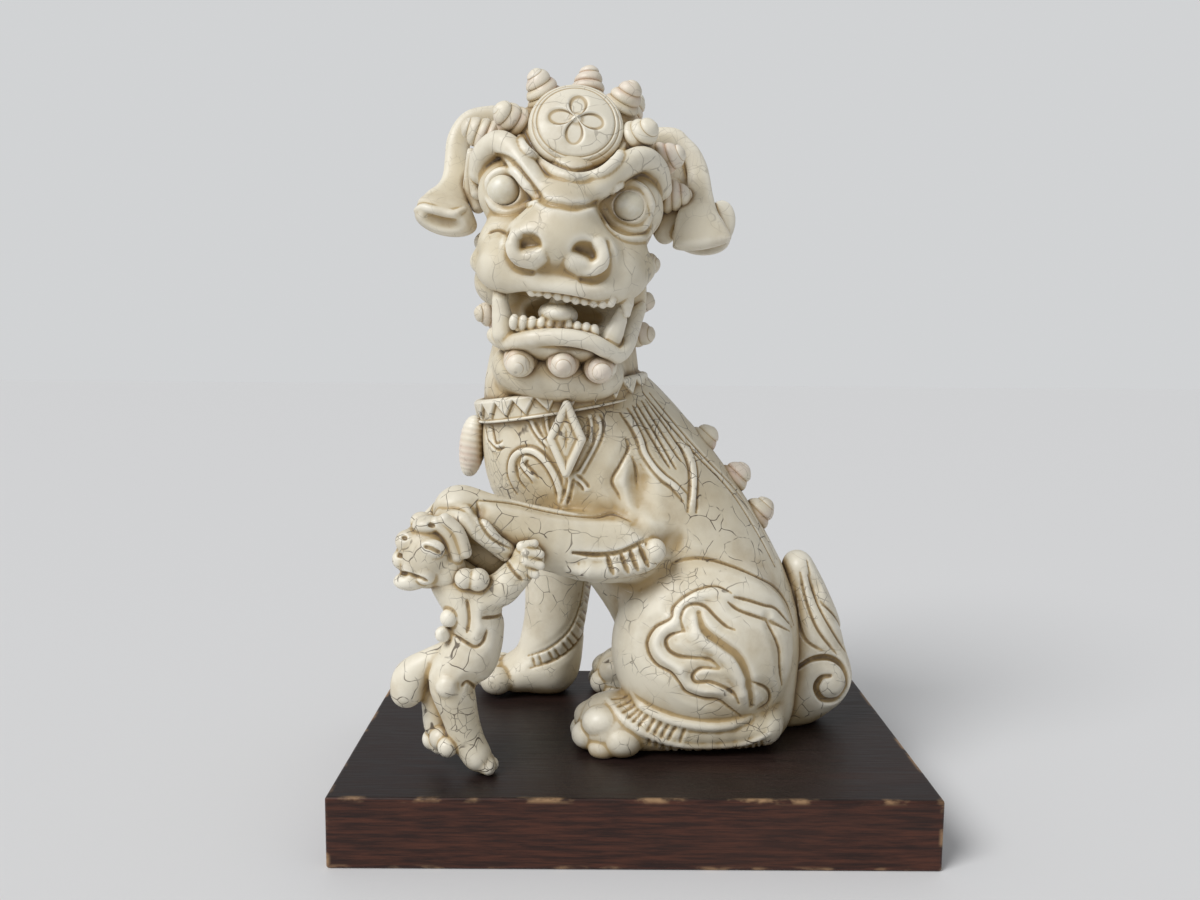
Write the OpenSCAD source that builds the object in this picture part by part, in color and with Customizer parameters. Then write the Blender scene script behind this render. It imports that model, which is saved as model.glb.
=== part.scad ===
// Guardian lion figurine: a seated lion and its cub, cast in pieces, on a stained wooden base.
// Millimetres, +Z up, origin at the middle of the underside. The lion's body faces -X and its head
// is turned to -Y. Heights in the figure count from the top of the base.

/* [Wooden base] */
// Width of the base, left to right
base_w = 220; // [200:1:260]
// Depth of the base, front to back
base_d = 140; // [138:1:180]
// Thickness of the base
base_t = 26.5; // [20:0.5:40]
// Bevel along the top edges of the base
base_bevel = 1; // [0.5:0.1:3]
// Thickness of the felt under the base
felt_t = 1.2; // [0.8:0.1:2]
// Bare rim round the felt
felt_rim = 8; // [4:1:15]

/* [Fixings and fits] */
// Diameter of the screws through the base
screw_d = 4; // [3:0.5:5]
// Length of screw that stands in a paw
screw_grip = 12; // [8:1:14]
// Diameter of the dowels between castings
dowel_d = 5; // [3:0.5:6]
// Length of the neck dowel
neck_dowel_len = 40; // [24:1:60]
// Length of the limb dowels
limb_dowel_len = 18; // [12:1:22]
// Gap round a piece that is set in a seat
seat_gap = 0.25; // [0.1:0.05:0.4]

/* [Body] */
// Radius of the neck at the collar
neck_r = 32; // [29:0.5:35]
// Length of the chest, front to back
chest_len = 90; // [82:1:96]
// Width of the chest, side to side
chest_w = 76; // [70:1:82]
// Width of the hips between the haunches
hip_w = 84; // [76:1:92]
// Length of a haunch
haunch_len = 72; // [64:1:80]
// Height of a haunch
haunch_h = 74; // [66:1:80]
// Thickness of a haunch
haunch_w = 42; // [36:1:48]
// Distance between the middles of the two haunches
haunch_span = 62; // [56:1:68]
// Length of a hind paw, without its toes
hind_paw_len = 64; // [56:1:72]
// Width of a hind paw
hind_paw_w = 31; // [26:0.5:34]
// Height of a hind paw
hind_paw_h = 22; // [18:0.5:26]

/* [Forelegs] */
// Thickness of the standing foreleg above its paw
foreleg_d = 30; // [26:0.5:34]
// Thickness of the raised foreleg behind its wrist
reach_d = 22; // [19:0.5:25]
// Width of a forepaw
forepaw_w = 30; // [26:0.5:34]
// Diameter of a toe
toe_d = 12; // [9:0.5:14]

/* [Head] */
// Height of the middle of the head above the base
head_z = 215; // [207:1:225]
// Width of the skull
head_w = 70; // [64:1:76]
// Depth of the skull, face to nape
head_d = 66; // [60:1:72]
// Height of the skull
head_h = 78; // [72:1:84]
// Width of the muzzle
muzzle_w = 62; // [56:1:68]
// Lean of the head to its left
head_lean = 7; // [0:0.5:12]
// Diameter of an eye
eye_d = 14; // [11:0.5:16]
// Distance between the middles of the eyes
eye_span = 47; // [43:0.5:50]
// Diameter of the crown disc
disc_d = 35; // [30:0.5:40]
// Height of the crown disc
disc_t = 9; // [6:0.5:12]
// Diameter of a crown curl
curl_d = 13; // [10:0.5:14]
// Diameter of a cheek or chin curl
small_curl_d = 12; // [9:0.5:13]
// Length of a fang
fang_len = 13; // [9:0.5:15]
// Thickness of an ear
ear_t = 6; // [4:0.5:8]
// Width of an ear
ear_w = 25; // [20:0.5:28]

/* [Collar and trimmings] */
// Height of the collar band
collar_h = 9.5; // [7:0.5:11]
// Thickness of the collar band
collar_t = 4; // [3:0.5:5]
// Diameter of the bud on the collar
bud_d = 11; // [8:0.5:14]
// Length of the bud on the collar
bud_len = 26; // [20:0.5:32]
// Width of the chest pendant
pendant_w = 13; // [10:0.5:16]
// Height of the chest pendant
pendant_h = 29; // [24:0.5:34]
// Thickness of the chest pendant
pendant_t = 5; // [4:0.5:6]
// Diameter of a spine curl
spine_curl_d = 15; // [12:0.5:17]

/* [Tail] */
// Height of the tail above the base
tail_h = 72; // [60:1:80]
// Diameter of the scroll at the foot of the tail
scroll_d = 28; // [22:0.5:32]

/* [Cub] */
// Diameter of the cub's head
cub_head_d = 24; // [20:0.5:27]
// Thickness of the cub's trunk
cub_trunk_d = 21; // [18:0.5:24]

/* [Hidden] */

cream = "#e3dabd";
tinted = "#dcc4ab";
pearl = "#dcd9c8";
wood = "#2e1a14";
felt = "#3c4a38";
steel = "#9a9a96";

// Sides of a lofted form, a rounded form, a toe and a tuft
loft_sides = 12;
egg_sides = 16;
toe_sides = 8;
tuft_sides = 6;

// The lion's middle plane, and the middles of its near and far haunch
lion_y = 10;
near_y = lion_y - haunch_span / 2;
far_y = lion_y + haunch_span / 2;

// Vector helpers
function unit(v) = v / norm(v);
function xyz(s) = [s[0], s[1], s[2]];

// Radius of a many-sided hole that clears a round piece
function clear_r(r, sides) = r / cos(180 / sides);
hole_sides = 10;

// A smooth curve through stations, which may be vectors of any length
function blend4(a, b, c, d, t) =
  0.5 * (2 * b + (c - a) * t + (2 * a - 5 * b + 4 * c - d) * t * t + (3 * b - a - 3 * c + d) * t * t * t);
function curve(s, steps) =
  let (n = len(s) - 1)
  [for (i = [0 : n - 1]) for (k = [0 : steps - 1])
      blend4(s[max(i - 1, 0)], s[i], s[i + 1], s[min(i + 2, n)], k / steps), s[n]];

// Skin over rings of equal count, closed by a point at each end
module skin(rings, first, last) {
  sides = len(rings[0]);
  count = len(rings);
  points = concat([for (r = rings) each r], [first, last]);
  a = count * sides;
  faces = concat(
    [for (i = [0 : count - 2]) for (j = [0 : sides - 1]) let (k = (j + 1) % sides)
        each [[i * sides + k, i * sides + j, (i + 1) * sides + k],
              [(i + 1) * sides + k, i * sides + j, (i + 1) * sides + j]]],
    [for (j = [0 : sides - 1]) [a, j, (j + 1) % sides]],
    [for (j = [0 : sides - 1]) let (b = (count - 1) * sides) [a + 1, b + (j + 1) % sides, b + j]]);
  polyhedron(points, faces);
}

// Loft along stations [x, y, z, half width, half thickness]. The thickness lies along face, and cup
// bends the edges of the section forward, or back if below 0. grow makes the form of a loose seat.
module loft(stations, face = [0, 1, 0], steps = 2, grow = 0, cup = 0, sides = loft_sides) {
  p = curve(stations, steps);
  n = len(p) - 1;
  function heading(i) = unit(xyz(p[min(i + 1, n)]) - xyz(p[max(i - 1, 0)]));
  function ring(i, share, ahead) =
    let (t = heading(i), s = unit(cross(face, t)), w = cross(t, s), a = p[i][3] + grow, b = p[i][4] + grow)
    [for (j = [0 : sides - 1]) let (q = 360 * j / sides)
        xyz(p[i]) + t * ahead + share * (s * a * cos(q) + w * (b * sin(q) - cup * cos(q) * cos(q)))];
  function cap(i) = min(p[i][3], p[i][4]) + grow;
  skin(
    concat([for (q = [60, 30]) ring(0, cos(q), -sin(q) * cap(0))],
           [for (i = [0 : n]) ring(i, 1, 0)],
           [for (q = [30, 60]) ring(n, cos(q), sin(q) * cap(n))]),
    xyz(p[0]) - heading(0) * cap(0), xyz(p[n]) + heading(n) * cap(n));
}

// Rounded form with three half axes
module egg(at, radii, sides = egg_sides) {
  translate(at) scale(radii) sphere(1, $fn = sides);
}

// Round bar between two points
module bar(from, to, r1, r2, sides = toe_sides) {
  hull() {
    translate(from) sphere(r1, $fn = sides);
    translate(to) sphere(r2, $fn = sides);
  }
}

// Turns +Z to a direction, at a place
module aim(at, dir) {
  translate(at)
    rotate([0, acos(unit(dir)[2]), atan2(dir[1], dir[0])])
      children();
}

// Four toes, side by side across Y, which point to -X
module toes(at, paw_w, reach, grow = 0) {
  step = (paw_w - toe_d * 0.75) / 3;
  for (i = [-1.5 : 1.5])
    bar(at + [toe_d * 0.3, i * step, toe_d * 0.2],
        at + [-reach + abs(i) * toe_d * 0.15, i * step * 1.05, -toe_d * 0.1],
        toe_d / 2 + grow, toe_d / 2 - 0.5 + grow);
}

// Snail-shell curl: coils that step in to a tip, on a plain foot below its seat plane
curl_foot = 3;
module curl(d, coils = 3) {
  h = d * 0.66;
  coil_h = h / coils;
  function coil_r(i) = d / 2 * (1 - 0.26 * i);
  arc = [for (i = [0 : coils - 1]) for (q = [-60 : 30 : 60])
      [coil_r(i) - coil_h / 2 * (1 - cos(q)), coil_h * (i + 0.5) + coil_h / 2 * sin(q)]];
  rotate_extrude($fn = 24)
    polygon(concat([[0, -curl_foot], [d * 0.42, -curl_foot], [d * 0.42, 0]], arc, [[0, h]]));
}
module curl_seat(d) {
  translate([0, 0, -curl_foot - seat_gap])
    cylinder(r = clear_r(d / 2 + seat_gap, toe_sides), h = curl_foot + d, $fn = toe_sides);
}

// Dowels between castings: each place is [middle, direction]
module dowel(place, length) {
  aim(place[0], place[1])
    cylinder(d = dowel_d, h = length, center = true, $fn = 24);
}
module dowel_seat(place, length) {
  aim(place[0], place[1])
    cylinder(r = clear_r(dowel_d / 2 + seat_gap, hole_sides), h = length + 2 * seat_gap, center = true,
             $fn = hole_sides);
}

// Collar: a ring round the neck, which rises to the lion's back
collar_at = [-29, lion_y - 1, 138];
collar_rise = 10;
module at_collar() {
  translate(collar_at) rotate([0, -collar_rise, 0]) children();
}
collar_r = neck_r + 0.5;
collar_sides = 32;
seam_z = collar_h / 2 + seat_gap;
module collar_seat() {
  translate([0, 0, -seam_z]) difference() {
    cylinder(r = clear_r(collar_r + collar_t + seat_gap, collar_sides), h = 3 * collar_h, $fn = collar_sides);
    translate([0, 0, -1]) cylinder(r = collar_r - seat_gap, h = 3 * collar_h + 2, $fn = collar_sides);
  }
}
neck_pin = [collar_at + [0, 0, 2], [0, 0, 1]];

// Body
torso = [
  [-29, lion_y, 152, neck_r - 1, neck_r - 1],
  [-28, lion_y, 136, neck_r, neck_r],
  [-19, lion_y, 113, chest_len / 2 - 3, chest_w / 2 - 1],
  [0, lion_y, 90, chest_len / 2 - 2, chest_w / 2],
  [20, lion_y, 64, chest_len / 2 - 4, hip_w / 2 - 2],
  [35, lion_y, 40, chest_len / 2 - 8, hip_w / 2],
  [42, lion_y, 14, chest_len / 2 - 16, hip_w / 2 - 2]
];
haunch_x = 28;
haunch_z = haunch_h / 2 + 4;
hind_toe_x = -12;
hind_paw_z = hind_paw_h / 2 - 1;

far_shift = 7;

module hind_leg() {
  egg([haunch_x, 0, haunch_z], [haunch_len / 2, haunch_w / 2, haunch_h / 2], 20);
  loft([[hind_toe_x + hind_paw_len, 0, hind_paw_z, hind_paw_h * 0.4, hind_paw_w * 0.4],
        [hind_toe_x + hind_paw_len * 0.6, 0, hind_paw_z, hind_paw_h * 0.5, hind_paw_w * 0.48],
        [hind_toe_x + hind_paw_len * 0.3, 0, hind_paw_z, hind_paw_h * 0.54, hind_paw_w * 0.5],
        [hind_toe_x, 0, hind_paw_z, hind_paw_h * 0.45, hind_paw_w * 0.48]]);
  toes([hind_toe_x - 4, 0, hind_paw_z - 1], hind_paw_w, toe_d * 0.7);
}

// The far hind leg sits a little further back, clear of the standing forepaw
module body_form() {
  loft(torso, sides = 20);
  translate([0, near_y, 0]) hind_leg();
  translate([far_shift, far_y, 0]) hind_leg();
}

// Space above or below the neck seam, and below the top of the base
beyond = 2 * base_w;
module half_space(from) {
  translate([-beyond / 2, -beyond / 2, from]) cube(beyond);
}
module above_seam() {
  at_collar() half_space(seam_z);
}
module below_seam() {
  at_collar() half_space(seam_z - beyond);
}
module below_deck() {
  half_space(-beyond);
}

// Screws stand in the two hind paws and in the standing forepaw
standing_y = 43;
screw_at = [[haunch_x, near_y], [haunch_x + far_shift, far_y], [-36, standing_y]];
screw_z = -base_t + felt_t;
screw_head_h = screw_d * 0.6;
module screws(grow = 0) {
  for (p = screw_at)
    translate([p[0], p[1], screw_z]) {
      cylinder(d = screw_d + 2 * grow, h = base_t - felt_t + screw_grip + grow, $fn = 24);
      cylinder(d1 = screw_d * 2 + 2 * grow, d2 = screw_d + 2 * grow, h = screw_head_h, $fn = 24);
    }
}

module pilot_holes() {
  for (p = screw_at)
    translate([p[0], p[1], -1])
      cylinder(r = clear_r(screw_d / 2 + seat_gap, hole_sides), h = screw_grip + seat_gap + 1, $fn = hole_sides);
}

// Standing foreleg: shoulder plug, shank and paw
standing = [
  [-22, standing_y - 9, 98, 15, 12],
  [-28, standing_y - 2, 80, foreleg_d * 0.56, foreleg_d * 0.5],
  [-31, standing_y, 58, foreleg_d * 0.52, foreleg_d * 0.5],
  [-33, standing_y, 34, foreleg_d * 0.47, foreleg_d * 0.48],
  [-36, standing_y, 14, foreleg_d * 0.5, foreleg_d * 0.5]
];
module standing_plug(grow = 0) {
  loft(standing, grow = grow);
}
module standing_form() {
  standing_plug();
  loft([[-36, standing_y, 9, 9, forepaw_w * 0.46], [-44, standing_y, 10, 10, forepaw_w * 0.5],
        [-50, standing_y, 9, 9, forepaw_w * 0.48]], steps = 1);
  toes([-54, standing_y, 9], forepaw_w, toe_d * 0.6);
  for (i = [0 : 4])
    bar([-22 - i * 6, standing_y - foreleg_d * 0.36, 50 - i * 7],
        [-26 - i * 6, standing_y - foreleg_d * 0.46, 44 - i * 7], 4, 3, tuft_sides);
}
standing_pin = [[-18, standing_y - 12, 98], [8, -12, 6]];

// Raised foreleg: shoulder plug, bent elbow and a paw held out to the cub
reach_y = -34;
raised = [
  [-6, -10, 100, 14, 11],
  [2, -22, 84, 13, 13],
  [-14, -29, 81, reach_d * 0.57, reach_d * 0.56],
  [-36, reach_y, 87, reach_d * 0.5, reach_d * 0.5],
  [-54, reach_y - 2, 93, reach_d * 0.43, reach_d * 0.44],
  [-64, reach_y - 2, 97, reach_d * 0.45, reach_d * 0.48]
];
fringe = 6;
module raised_plug(grow = 0) {
  loft(raised, grow = grow);
}
module raised_form() {
  raised_plug();
  for (i = [-1 : 1])
    bar([-66, reach_y - 2 + i * 6, 99], [-75, reach_y - 2 + i * 7, 97], 5, 4.5);
  for (i = [0 : fringe - 1])
    bar([8 - i * 6, -31 - i * 0.9, 77], [9 - i * 6, -33.5 - i * 0.9, 70.5 + i * 0.4], 3.6, 2.6,
        tuft_sides);
}
raised_pin = [[-8, -6, 103], [-2, 8, 8]];

// Tail: a flame that stands on the base, with a scroll on each side
tail_foot = [72, lion_y];
tail_line = [
  [tail_foot[0] - 6, lion_y, 8, 12, 15],
  [tail_foot[0] + 4, lion_y, 20, 17, 17],
  [tail_foot[0] + 5, lion_y, tail_h * 0.5, 15, 15],
  [tail_foot[0] + 2, lion_y, tail_h * 0.75, 10, 11],
  [tail_foot[0] - 1, lion_y, tail_h - 4, 4, 5]
];
scroll_at = [tail_foot[0] + 9, scroll_d / 2 + 6];
scroll_turns = 1.5;
module scroll(side) {
  path = [for (q = [0 : 60 : 360 * scroll_turns]) let (share = 1 - q / (360 * scroll_turns + 120))
      [scroll_at[0] + scroll_d * 0.37 * share * cos(q - 90),
       lion_y + side * (13 + 4 * (1 - share)),
       scroll_at[1] + scroll_d * 0.37 * share * sin(q - 90),
       scroll_d * 0.14 * share + 1, 5]];
  loft(path, steps = 1, sides = 8);
}
module tail_plug(grow = 0) {
  loft(tail_line, grow = grow);
}
module tail_form() {
  tail_plug();
  scroll(-1);
  scroll(1);
  for (i = [0 : 3]) for (side = [-1, 1])
    bar([tail_foot[0] + 14 - i * 4, lion_y + side * (10 - i), tail_h * (0.42 + 0.12 * i)],
        [tail_foot[0] + 12 - i * 4, lion_y + side * (6 - i), tail_h * (0.56 + 0.12 * i)],
        4.5 - i * 0.5, 2.2, tuft_sides);
}
tail_pin = [[62, lion_y, 24], [1, 0, 0]];

// Cub: climbs with one foot on the base and its arms round the raised paw
cub_y = -47;
trunk_r = cub_trunk_d / 2;
cub_neck = [-69, cub_y, 72];
cub_head_at = [-76, cub_y - 1, 83];
cub_leg = [[-63, cub_y, 46, 8, 8], [-69, cub_y - 3, 34, 8, 8], [-67, cub_y - 1, 20, 6.5, 6.5],
           [-63, cub_y - 1, 8, 5.5, 5.5]];
cub_far_leg = [[-64, cub_y + 6, 44, 7, 7], [-74, cub_y + 7, 32, 6.5, 6.5], [-74, cub_y + 6, 16, 5.5, 5.5]];
cub_arm = [[-58, cub_y - 2, 66, 7, 7], [-48, cub_y - 4, 70, 6, 6], [-40, cub_y - 2, 80, 5.5, 5.5]];
cub_far_arm = [[-64, cub_y + 4, 68, 6, 6], [-70, cub_y + 9, 80, 5.5, 5.5], [-68, cub_y + 8, 94, 5, 5]];
cub_tail = [[-66, cub_y + 2, 46, 5, 5], [-78, cub_y + 2, 36, 5, 5], [-87, cub_y + 1, 32, 6, 6],
            [-88, cub_y + 1, 42, 4, 4]];
module cub_form(grow = 0) {
  loft([[-67, cub_y, 74, trunk_r * 0.85, trunk_r * 0.85], [-62, cub_y, 62, trunk_r, trunk_r],
        [-62, cub_y, 48, trunk_r * 0.95, trunk_r]], grow = grow, sides = 10);
  for (limb = [cub_leg, cub_far_leg, cub_arm, cub_far_arm, cub_tail])
    loft(limb, grow = grow, sides = 8);
  for (i = [-1 : 1]) {
    bar([-62, cub_y - 1 + i * 3.5, 5], [-55, cub_y - 2 + i * 4, 2.5], 3.4 + grow, 2.8 + grow, tuft_sides);
    bar([-39, cub_y - 2 + i * 3, 83], [-38, cub_y + 1 + i * 3.2, 88], 3 + grow, 2.5 + grow, tuft_sides);
    bar([-75, cub_y + 6 + i * 3, 12], [-79, cub_y + 6 + i * 3.4, 8], 3.2 + grow, 2.6 + grow, tuft_sides);
  }
}
module cub_head_form(grow = 0) {
  r = cub_head_d / 2;
  egg(cub_head_at, [r + grow, r + grow, r * 1.05 + grow], 12);
  bar(cub_head_at + [-r * 0.5, -r * 0.2, -r * 0.3], cub_head_at + [-r * 1.0, -r * 0.3, -r * 0.45],
      r * 0.55 + grow, r * 0.4 + grow);
  for (side = [-1, 1]) {
    bar(cub_head_at + [r * 0.3, side * r * 0.8, r * 0.3], cub_head_at + [r * 0.9, side * r * 1.1, -r * 0.2],
        r * 0.3 + grow, r * 0.25 + grow, tuft_sides);
    bar(cub_head_at + [-r * 0.5, side * r * 0.45, r * 0.55], cub_head_at + [-r * 0.8, side * r * 0.45, r * 0.6],
        r * 0.3 + grow, r * 0.28 + grow, tuft_sides);
  }
  for (q = [0 : 60 : 300])
    bar(cub_head_at + [r * 0.5 * cos(q), r * 0.5 * sin(q), r * 0.75],
        cub_head_at + [r * 0.62 * cos(q), r * 0.62 * sin(q), r * 1.05], r * 0.26 + grow, r * 0.2 + grow,
        tuft_sides);
}
cub_pin = [cub_neck, cub_head_at - cub_neck];

// Head frame: +X to the lion's left cheek as seen, -Y out of the face, lean about Y
head_at = [-25, -2, head_z];
module at_head() {
  translate(head_at) rotate([0, head_lean, 0]) children();
}
skull_c = [0, 2, 5];
skull_r = [head_w / 2, head_d / 2, head_h / 2];
function skull_point(az, el) =
  skull_c + [skull_r[0] * cos(el) * sin(az), -skull_r[1] * cos(el) * cos(az), skull_r[2] * sin(el)];
function skull_normal(az, el) =
  unit([cos(el) * sin(az) / skull_r[0], -cos(el) * cos(az) / skull_r[1], sin(el) / skull_r[2]]);

// Face
face_y = skull_c[1] - skull_r[1];
eye_r = eye_d / 2;
eye_at = [eye_span / 2, face_y + 6, 0];
muzzle_c = [0, face_y + 8, -24];
muzzle_r = [muzzle_w / 2, 23, 17];
nose_y = muzzle_c[1] - muzzle_r[1];
lip_z = -37;
lip_r = 4.5;
lip_line = [[-muzzle_w / 2 - 1, face_y + 20, lip_z - 4, lip_r, lip_r],
            [-muzzle_w * 0.42, face_y + 1, lip_z, lip_r, lip_r],
            [-muzzle_w * 0.2, nose_y + 5, lip_z + 2, lip_r, lip_r],
            [0, nose_y + 3, lip_z + 3, lip_r, lip_r],
            [muzzle_w * 0.2, nose_y + 5, lip_z + 2, lip_r, lip_r],
            [muzzle_w * 0.42, face_y + 1, lip_z, lip_r, lip_r],
            [muzzle_w / 2 + 1, face_y + 20, lip_z - 4, lip_r, lip_r]];
brow_r = 5;
brow_line = [[-skull_r[0] - 1, face_y + 14, 6, 3.5, 3.5], [-skull_r[0] * 0.72, face_y + 3, 14, brow_r, brow_r],
             [-skull_r[0] * 0.34, face_y - 1, 9, brow_r, brow_r], [0, face_y - 3, 2, brow_r, brow_r],
             [skull_r[0] * 0.34, face_y - 1, 9, brow_r, brow_r], [skull_r[0] * 0.72, face_y + 3, 14, brow_r, brow_r],
             [skull_r[0] + 1, face_y + 14, 6, 3.5, 3.5]];

module mirrored() {
  children();
  mirror([1, 0, 0]) children();
}

// Crown disc on the forehead
disc_at = [-1.3, face_y + 10.5, 24];
disc_dir = [0, -1, 0.4];
disc_sides = 24;
module crown_disc() {
  r = disc_d / 2;
  rise = disc_t - 2.5;
  aim(disc_at, disc_dir)
    rotate_extrude($fn = 48)
      polygon(concat([[0, -disc_t], [r - 2, -disc_t], [r - 2, rise - 5.5], [r, rise - 5],
                      [r, rise - 3], [r - 1.5, rise - 2.5]],
                     [for (q = [0 : 15 : 90]) [(r - 0.8) * cos(q), rise - 2 + 3.5 * sin(q)]]));
}
module disc_seat() {
  aim(disc_at, disc_dir) translate([0, 0, -disc_t - seat_gap])
    cylinder(r = clear_r(disc_d / 2 + seat_gap, disc_sides), h = 3 * disc_t, $fn = disc_sides);
}

// Jaws, with the mouth held open between them
mouth_gap = 14;
jaw_z = lip_z - mouth_gap - 5;
jaw_r = 6;
jaw_line = [[-muzzle_w * 0.5, face_y + 24, jaw_z + 9, jaw_r, jaw_r],
            [-muzzle_w * 0.44, face_y + 8, jaw_z + 2, jaw_r, jaw_r],
            [-muzzle_w * 0.24, nose_y + 11, jaw_z - 1, jaw_r, jaw_r],
            [0, nose_y + 8, jaw_z - 2, jaw_r, jaw_r],
            [muzzle_w * 0.24, nose_y + 11, jaw_z - 1, jaw_r, jaw_r],
            [muzzle_w * 0.44, face_y + 8, jaw_z + 2, jaw_r, jaw_r],
            [muzzle_w * 0.5, face_y + 24, jaw_z + 9, jaw_r, jaw_r]];
module jaw_plug(grow = 0) {
  loft(jaw_line, face = [0, 0, 1], grow = grow, sides = 8);
  egg([0, face_y + 8, jaw_z - 1], [muzzle_w * 0.42 + grow, 17 + grow, 6 + grow], 14);
}
module jaw_form() {
  jaw_plug();
  loft([[0, face_y + 5, jaw_z + 1, 9, 4], [0, face_y - 3, jaw_z + 2, 10, 4], [0, nose_y + 9, jaw_z + 4, 8, 3.5]],
       face = [0, 0, 1], sides = 8);
  tooth_row(jaw_line, 1);
}

// Teeth along a jaw's line, by their shares from its left end. dir is 1 in the lower jaw.
small_teeth = [0.3, 0.38, 0.46, 0.54, 0.62, 0.7];
fang_share = [0.2, 0.8];
tooth_d = 5;
tooth_len = 6.5;
function along(line, share) =
  let (p = curve(line, 8), i = round(share * (len(p) - 1))) xyz(p[i]);
module tooth_row(line, dir) {
  for (t = concat([for (s = small_teeth) [s, tooth_d, tooth_d * 0.7, tooth_len]],
                  [for (s = fang_share) [s, tooth_d * 1.5, tooth_d * 0.4, fang_len]]))
    let (root = along(line, t[0]), tip_r = t[2] / 2)
      bar(root, root + [0, 0, dir * (t[3] - tip_r)], t[1] / 2, tip_r, tuft_sides);
}

// Ears: drooping straps that flare to a broad end, rooted in the skull behind the temple
ear_line = [
  [skull_r[0] * 0.66, 10, 27, ear_w * 0.26, ear_t * 0.7],
  [skull_r[0] * 1.1, 8, 30, ear_w * 0.2, ear_t * 0.55],
  [skull_r[0] * 1.33, 6.5, 24, ear_w * 0.18, ear_t * 0.5],
  [skull_r[0] * 1.39, 4, 13, ear_w * 0.2, ear_t * 0.45],
  [skull_r[0] * 1.39, 1.5, 4, ear_w * 0.26, ear_t * 0.45],
  [skull_r[0] * 1.41, -2.5, -4, ear_w * 0.38, ear_t * 0.45],
  [skull_r[0] * 1.45, -5, -9, ear_w * 0.46, ear_t * 0.5]
];
ear_cup = -2;
module ear_form(grow = 0) {
  loft(ear_line, grow = grow, cup = ear_cup);
}

// Curls on the head, as [turn from the face, height angle]: one on top, and the rest on both sides
side_spots = [[57, 58], [53, 29], [77, 21], [84, 3], [114, 60], [152, 46], [128, 22], [160, 18], [146, -6]];
crown_spots = concat([[180, 86], [180, -8]], [for (p = side_spots) for (side = [-1, 1]) [side * p[0], p[1]]]);
module on_skull(spot, sink) {
  aim(skull_point(spot[0], spot[1]) - skull_normal(spot[0], spot[1]) * sink, skull_normal(spot[0], spot[1]))
    children();
}
curl_sink = 1;

// Curls behind each cheek, as [out to the side, y, z, shift with the leaning neck]
cheek_spots = [[27.5, 4, -19, 0.5], [26, 4, -34, 1.9], [26.8, 4, -47, 3]];
module on_cheeks() {
  for (side = [-1, 1]) for (s = cheek_spots)
    aim([side * s[0] + s[3], s[1], s[2]], [side * 0.9, -0.44, 0]) children();
}

// Three curls in a row under the chin, the outer two a little further back
chin_mid = [4, face_y + 1, jaw_z - 8];
chin_dir = [0, -1, -0.3];
chin_pitch = 14.5;
chin_bow = 2;
module on_chin() {
  for (i = [-1 : 1])
    aim(chin_mid + [i * chin_pitch, abs(i) * chin_bow, 0], chin_dir) children();
}

// Neck from the skull down past the collar seam, in the figure's frame
neck_line = [
  [head_at[0] - 2, lion_y - 1, head_at[2] - 21, neck_r - 6, neck_r - 6],
  [head_at[0] - 3, lion_y, collar_at[2] + 22, neck_r - 3, neck_r - 3],
  [collar_at[0], lion_y, collar_at[2] - 4, neck_r, neck_r]
];

nose_z = -20;
forehead_c = [0, face_y + 14, 24];
forehead_r = [skull_r[0] * 0.72, 14, 17];
throat_c = [3, face_y + 18, jaw_z - 10];
throat_r = [26, 19, 14];
module head_form() {
  egg(skull_c, skull_r, 20);
  egg(forehead_c, forehead_r);
  egg(muzzle_c, muzzle_r, 18);
  egg(throat_c, throat_r);
  loft(lip_line, face = [0, 0, 1], sides = 8);
  loft(brow_line, face = [0, 0, 1], sides = 8);
  bar([0, face_y - 1, 0], [0, nose_y + 7, nose_z + 4], 7, 11);
  tooth_row(lip_line, -1);
  mirrored() {
    bar([4, nose_y + 8, nose_z + 1], [12, nose_y + 10, nose_z - 2], 11, 9.5);
    bar([muzzle_w * 0.36, face_y + 10, -18], [muzzle_w * 0.4, face_y + 22, -34], 9, 10);
    bar([12, face_y - 2, -4], [muzzle_w * 0.4, face_y + 2, -14], 5, 7, tuft_sides);
    loft([for (q = [10 : 40 : 170]) concat(eye_at + [eye_r * 1.25 * cos(q), -1, eye_r * 1.25 * sin(q)], [2.4, 2.4])],
         steps = 1, sides = tuft_sides);
    loft([for (q = [190 : 40 : 350]) concat(eye_at + [eye_r * 1.3 * cos(q), 0, eye_r * 1.3 * sin(q)], [1.8, 1.8])],
         steps = 1, sides = tuft_sides);
  }
}
module mouth() {
  egg([0, face_y - 2, lip_z - mouth_gap / 2], [muzzle_w * 0.4, 26, mouth_gap / 2 + 3], 14);
}
module nostrils() {
  mirrored()
    bar([11, nose_y - 4, nose_z - 3], [13, nose_y + 6, nose_z - 4], 4, 3.4);
}

// Bud, pendant and spine curls on the body
bud_at = [-67, lion_y, 116.5];
module bud(grow = 0, step = 15, sides = 24) {
  translate(bud_at)
    rotate_extrude($fn = sides)
      polygon([for (q = [-90 : step : 90])
          [(bud_d / 2 + grow) * cos(q) * (1 - 0.18 * sin(q)), (bud_len / 2 + grow) * sin(q)]]);
}
pendant_at = [-26, -28.5, 124];
pendant_dir = [-0.1, -1, 0.03];
module pendant(grow = 0) {
  w = pendant_w / 2 + grow;
  h = pendant_h / 2 + grow;
  frame = 0.62;
  aim(pendant_at, pendant_dir) rotate([0, 0, 90])
    difference() {
      translate([0, 0, -pendant_t / 2 - grow]) linear_extrude(pendant_t + 2 * grow)
        polygon([[w, 0], [0, h], [-w, 0], [0, -h]]);
      if (grow == 0)
        translate([0, 0, pendant_t / 2 - 1]) linear_extrude(pendant_t)
          difference() {
            polygon([[w * frame, 0], [0, h * frame], [-w * frame, 0], [0, -h * frame]]);
            polygon([[w * 0.3, 0], [0, h * 0.4], [-w * 0.3, 0], [0, -h * 0.4]]);
          }
    }
}
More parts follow.
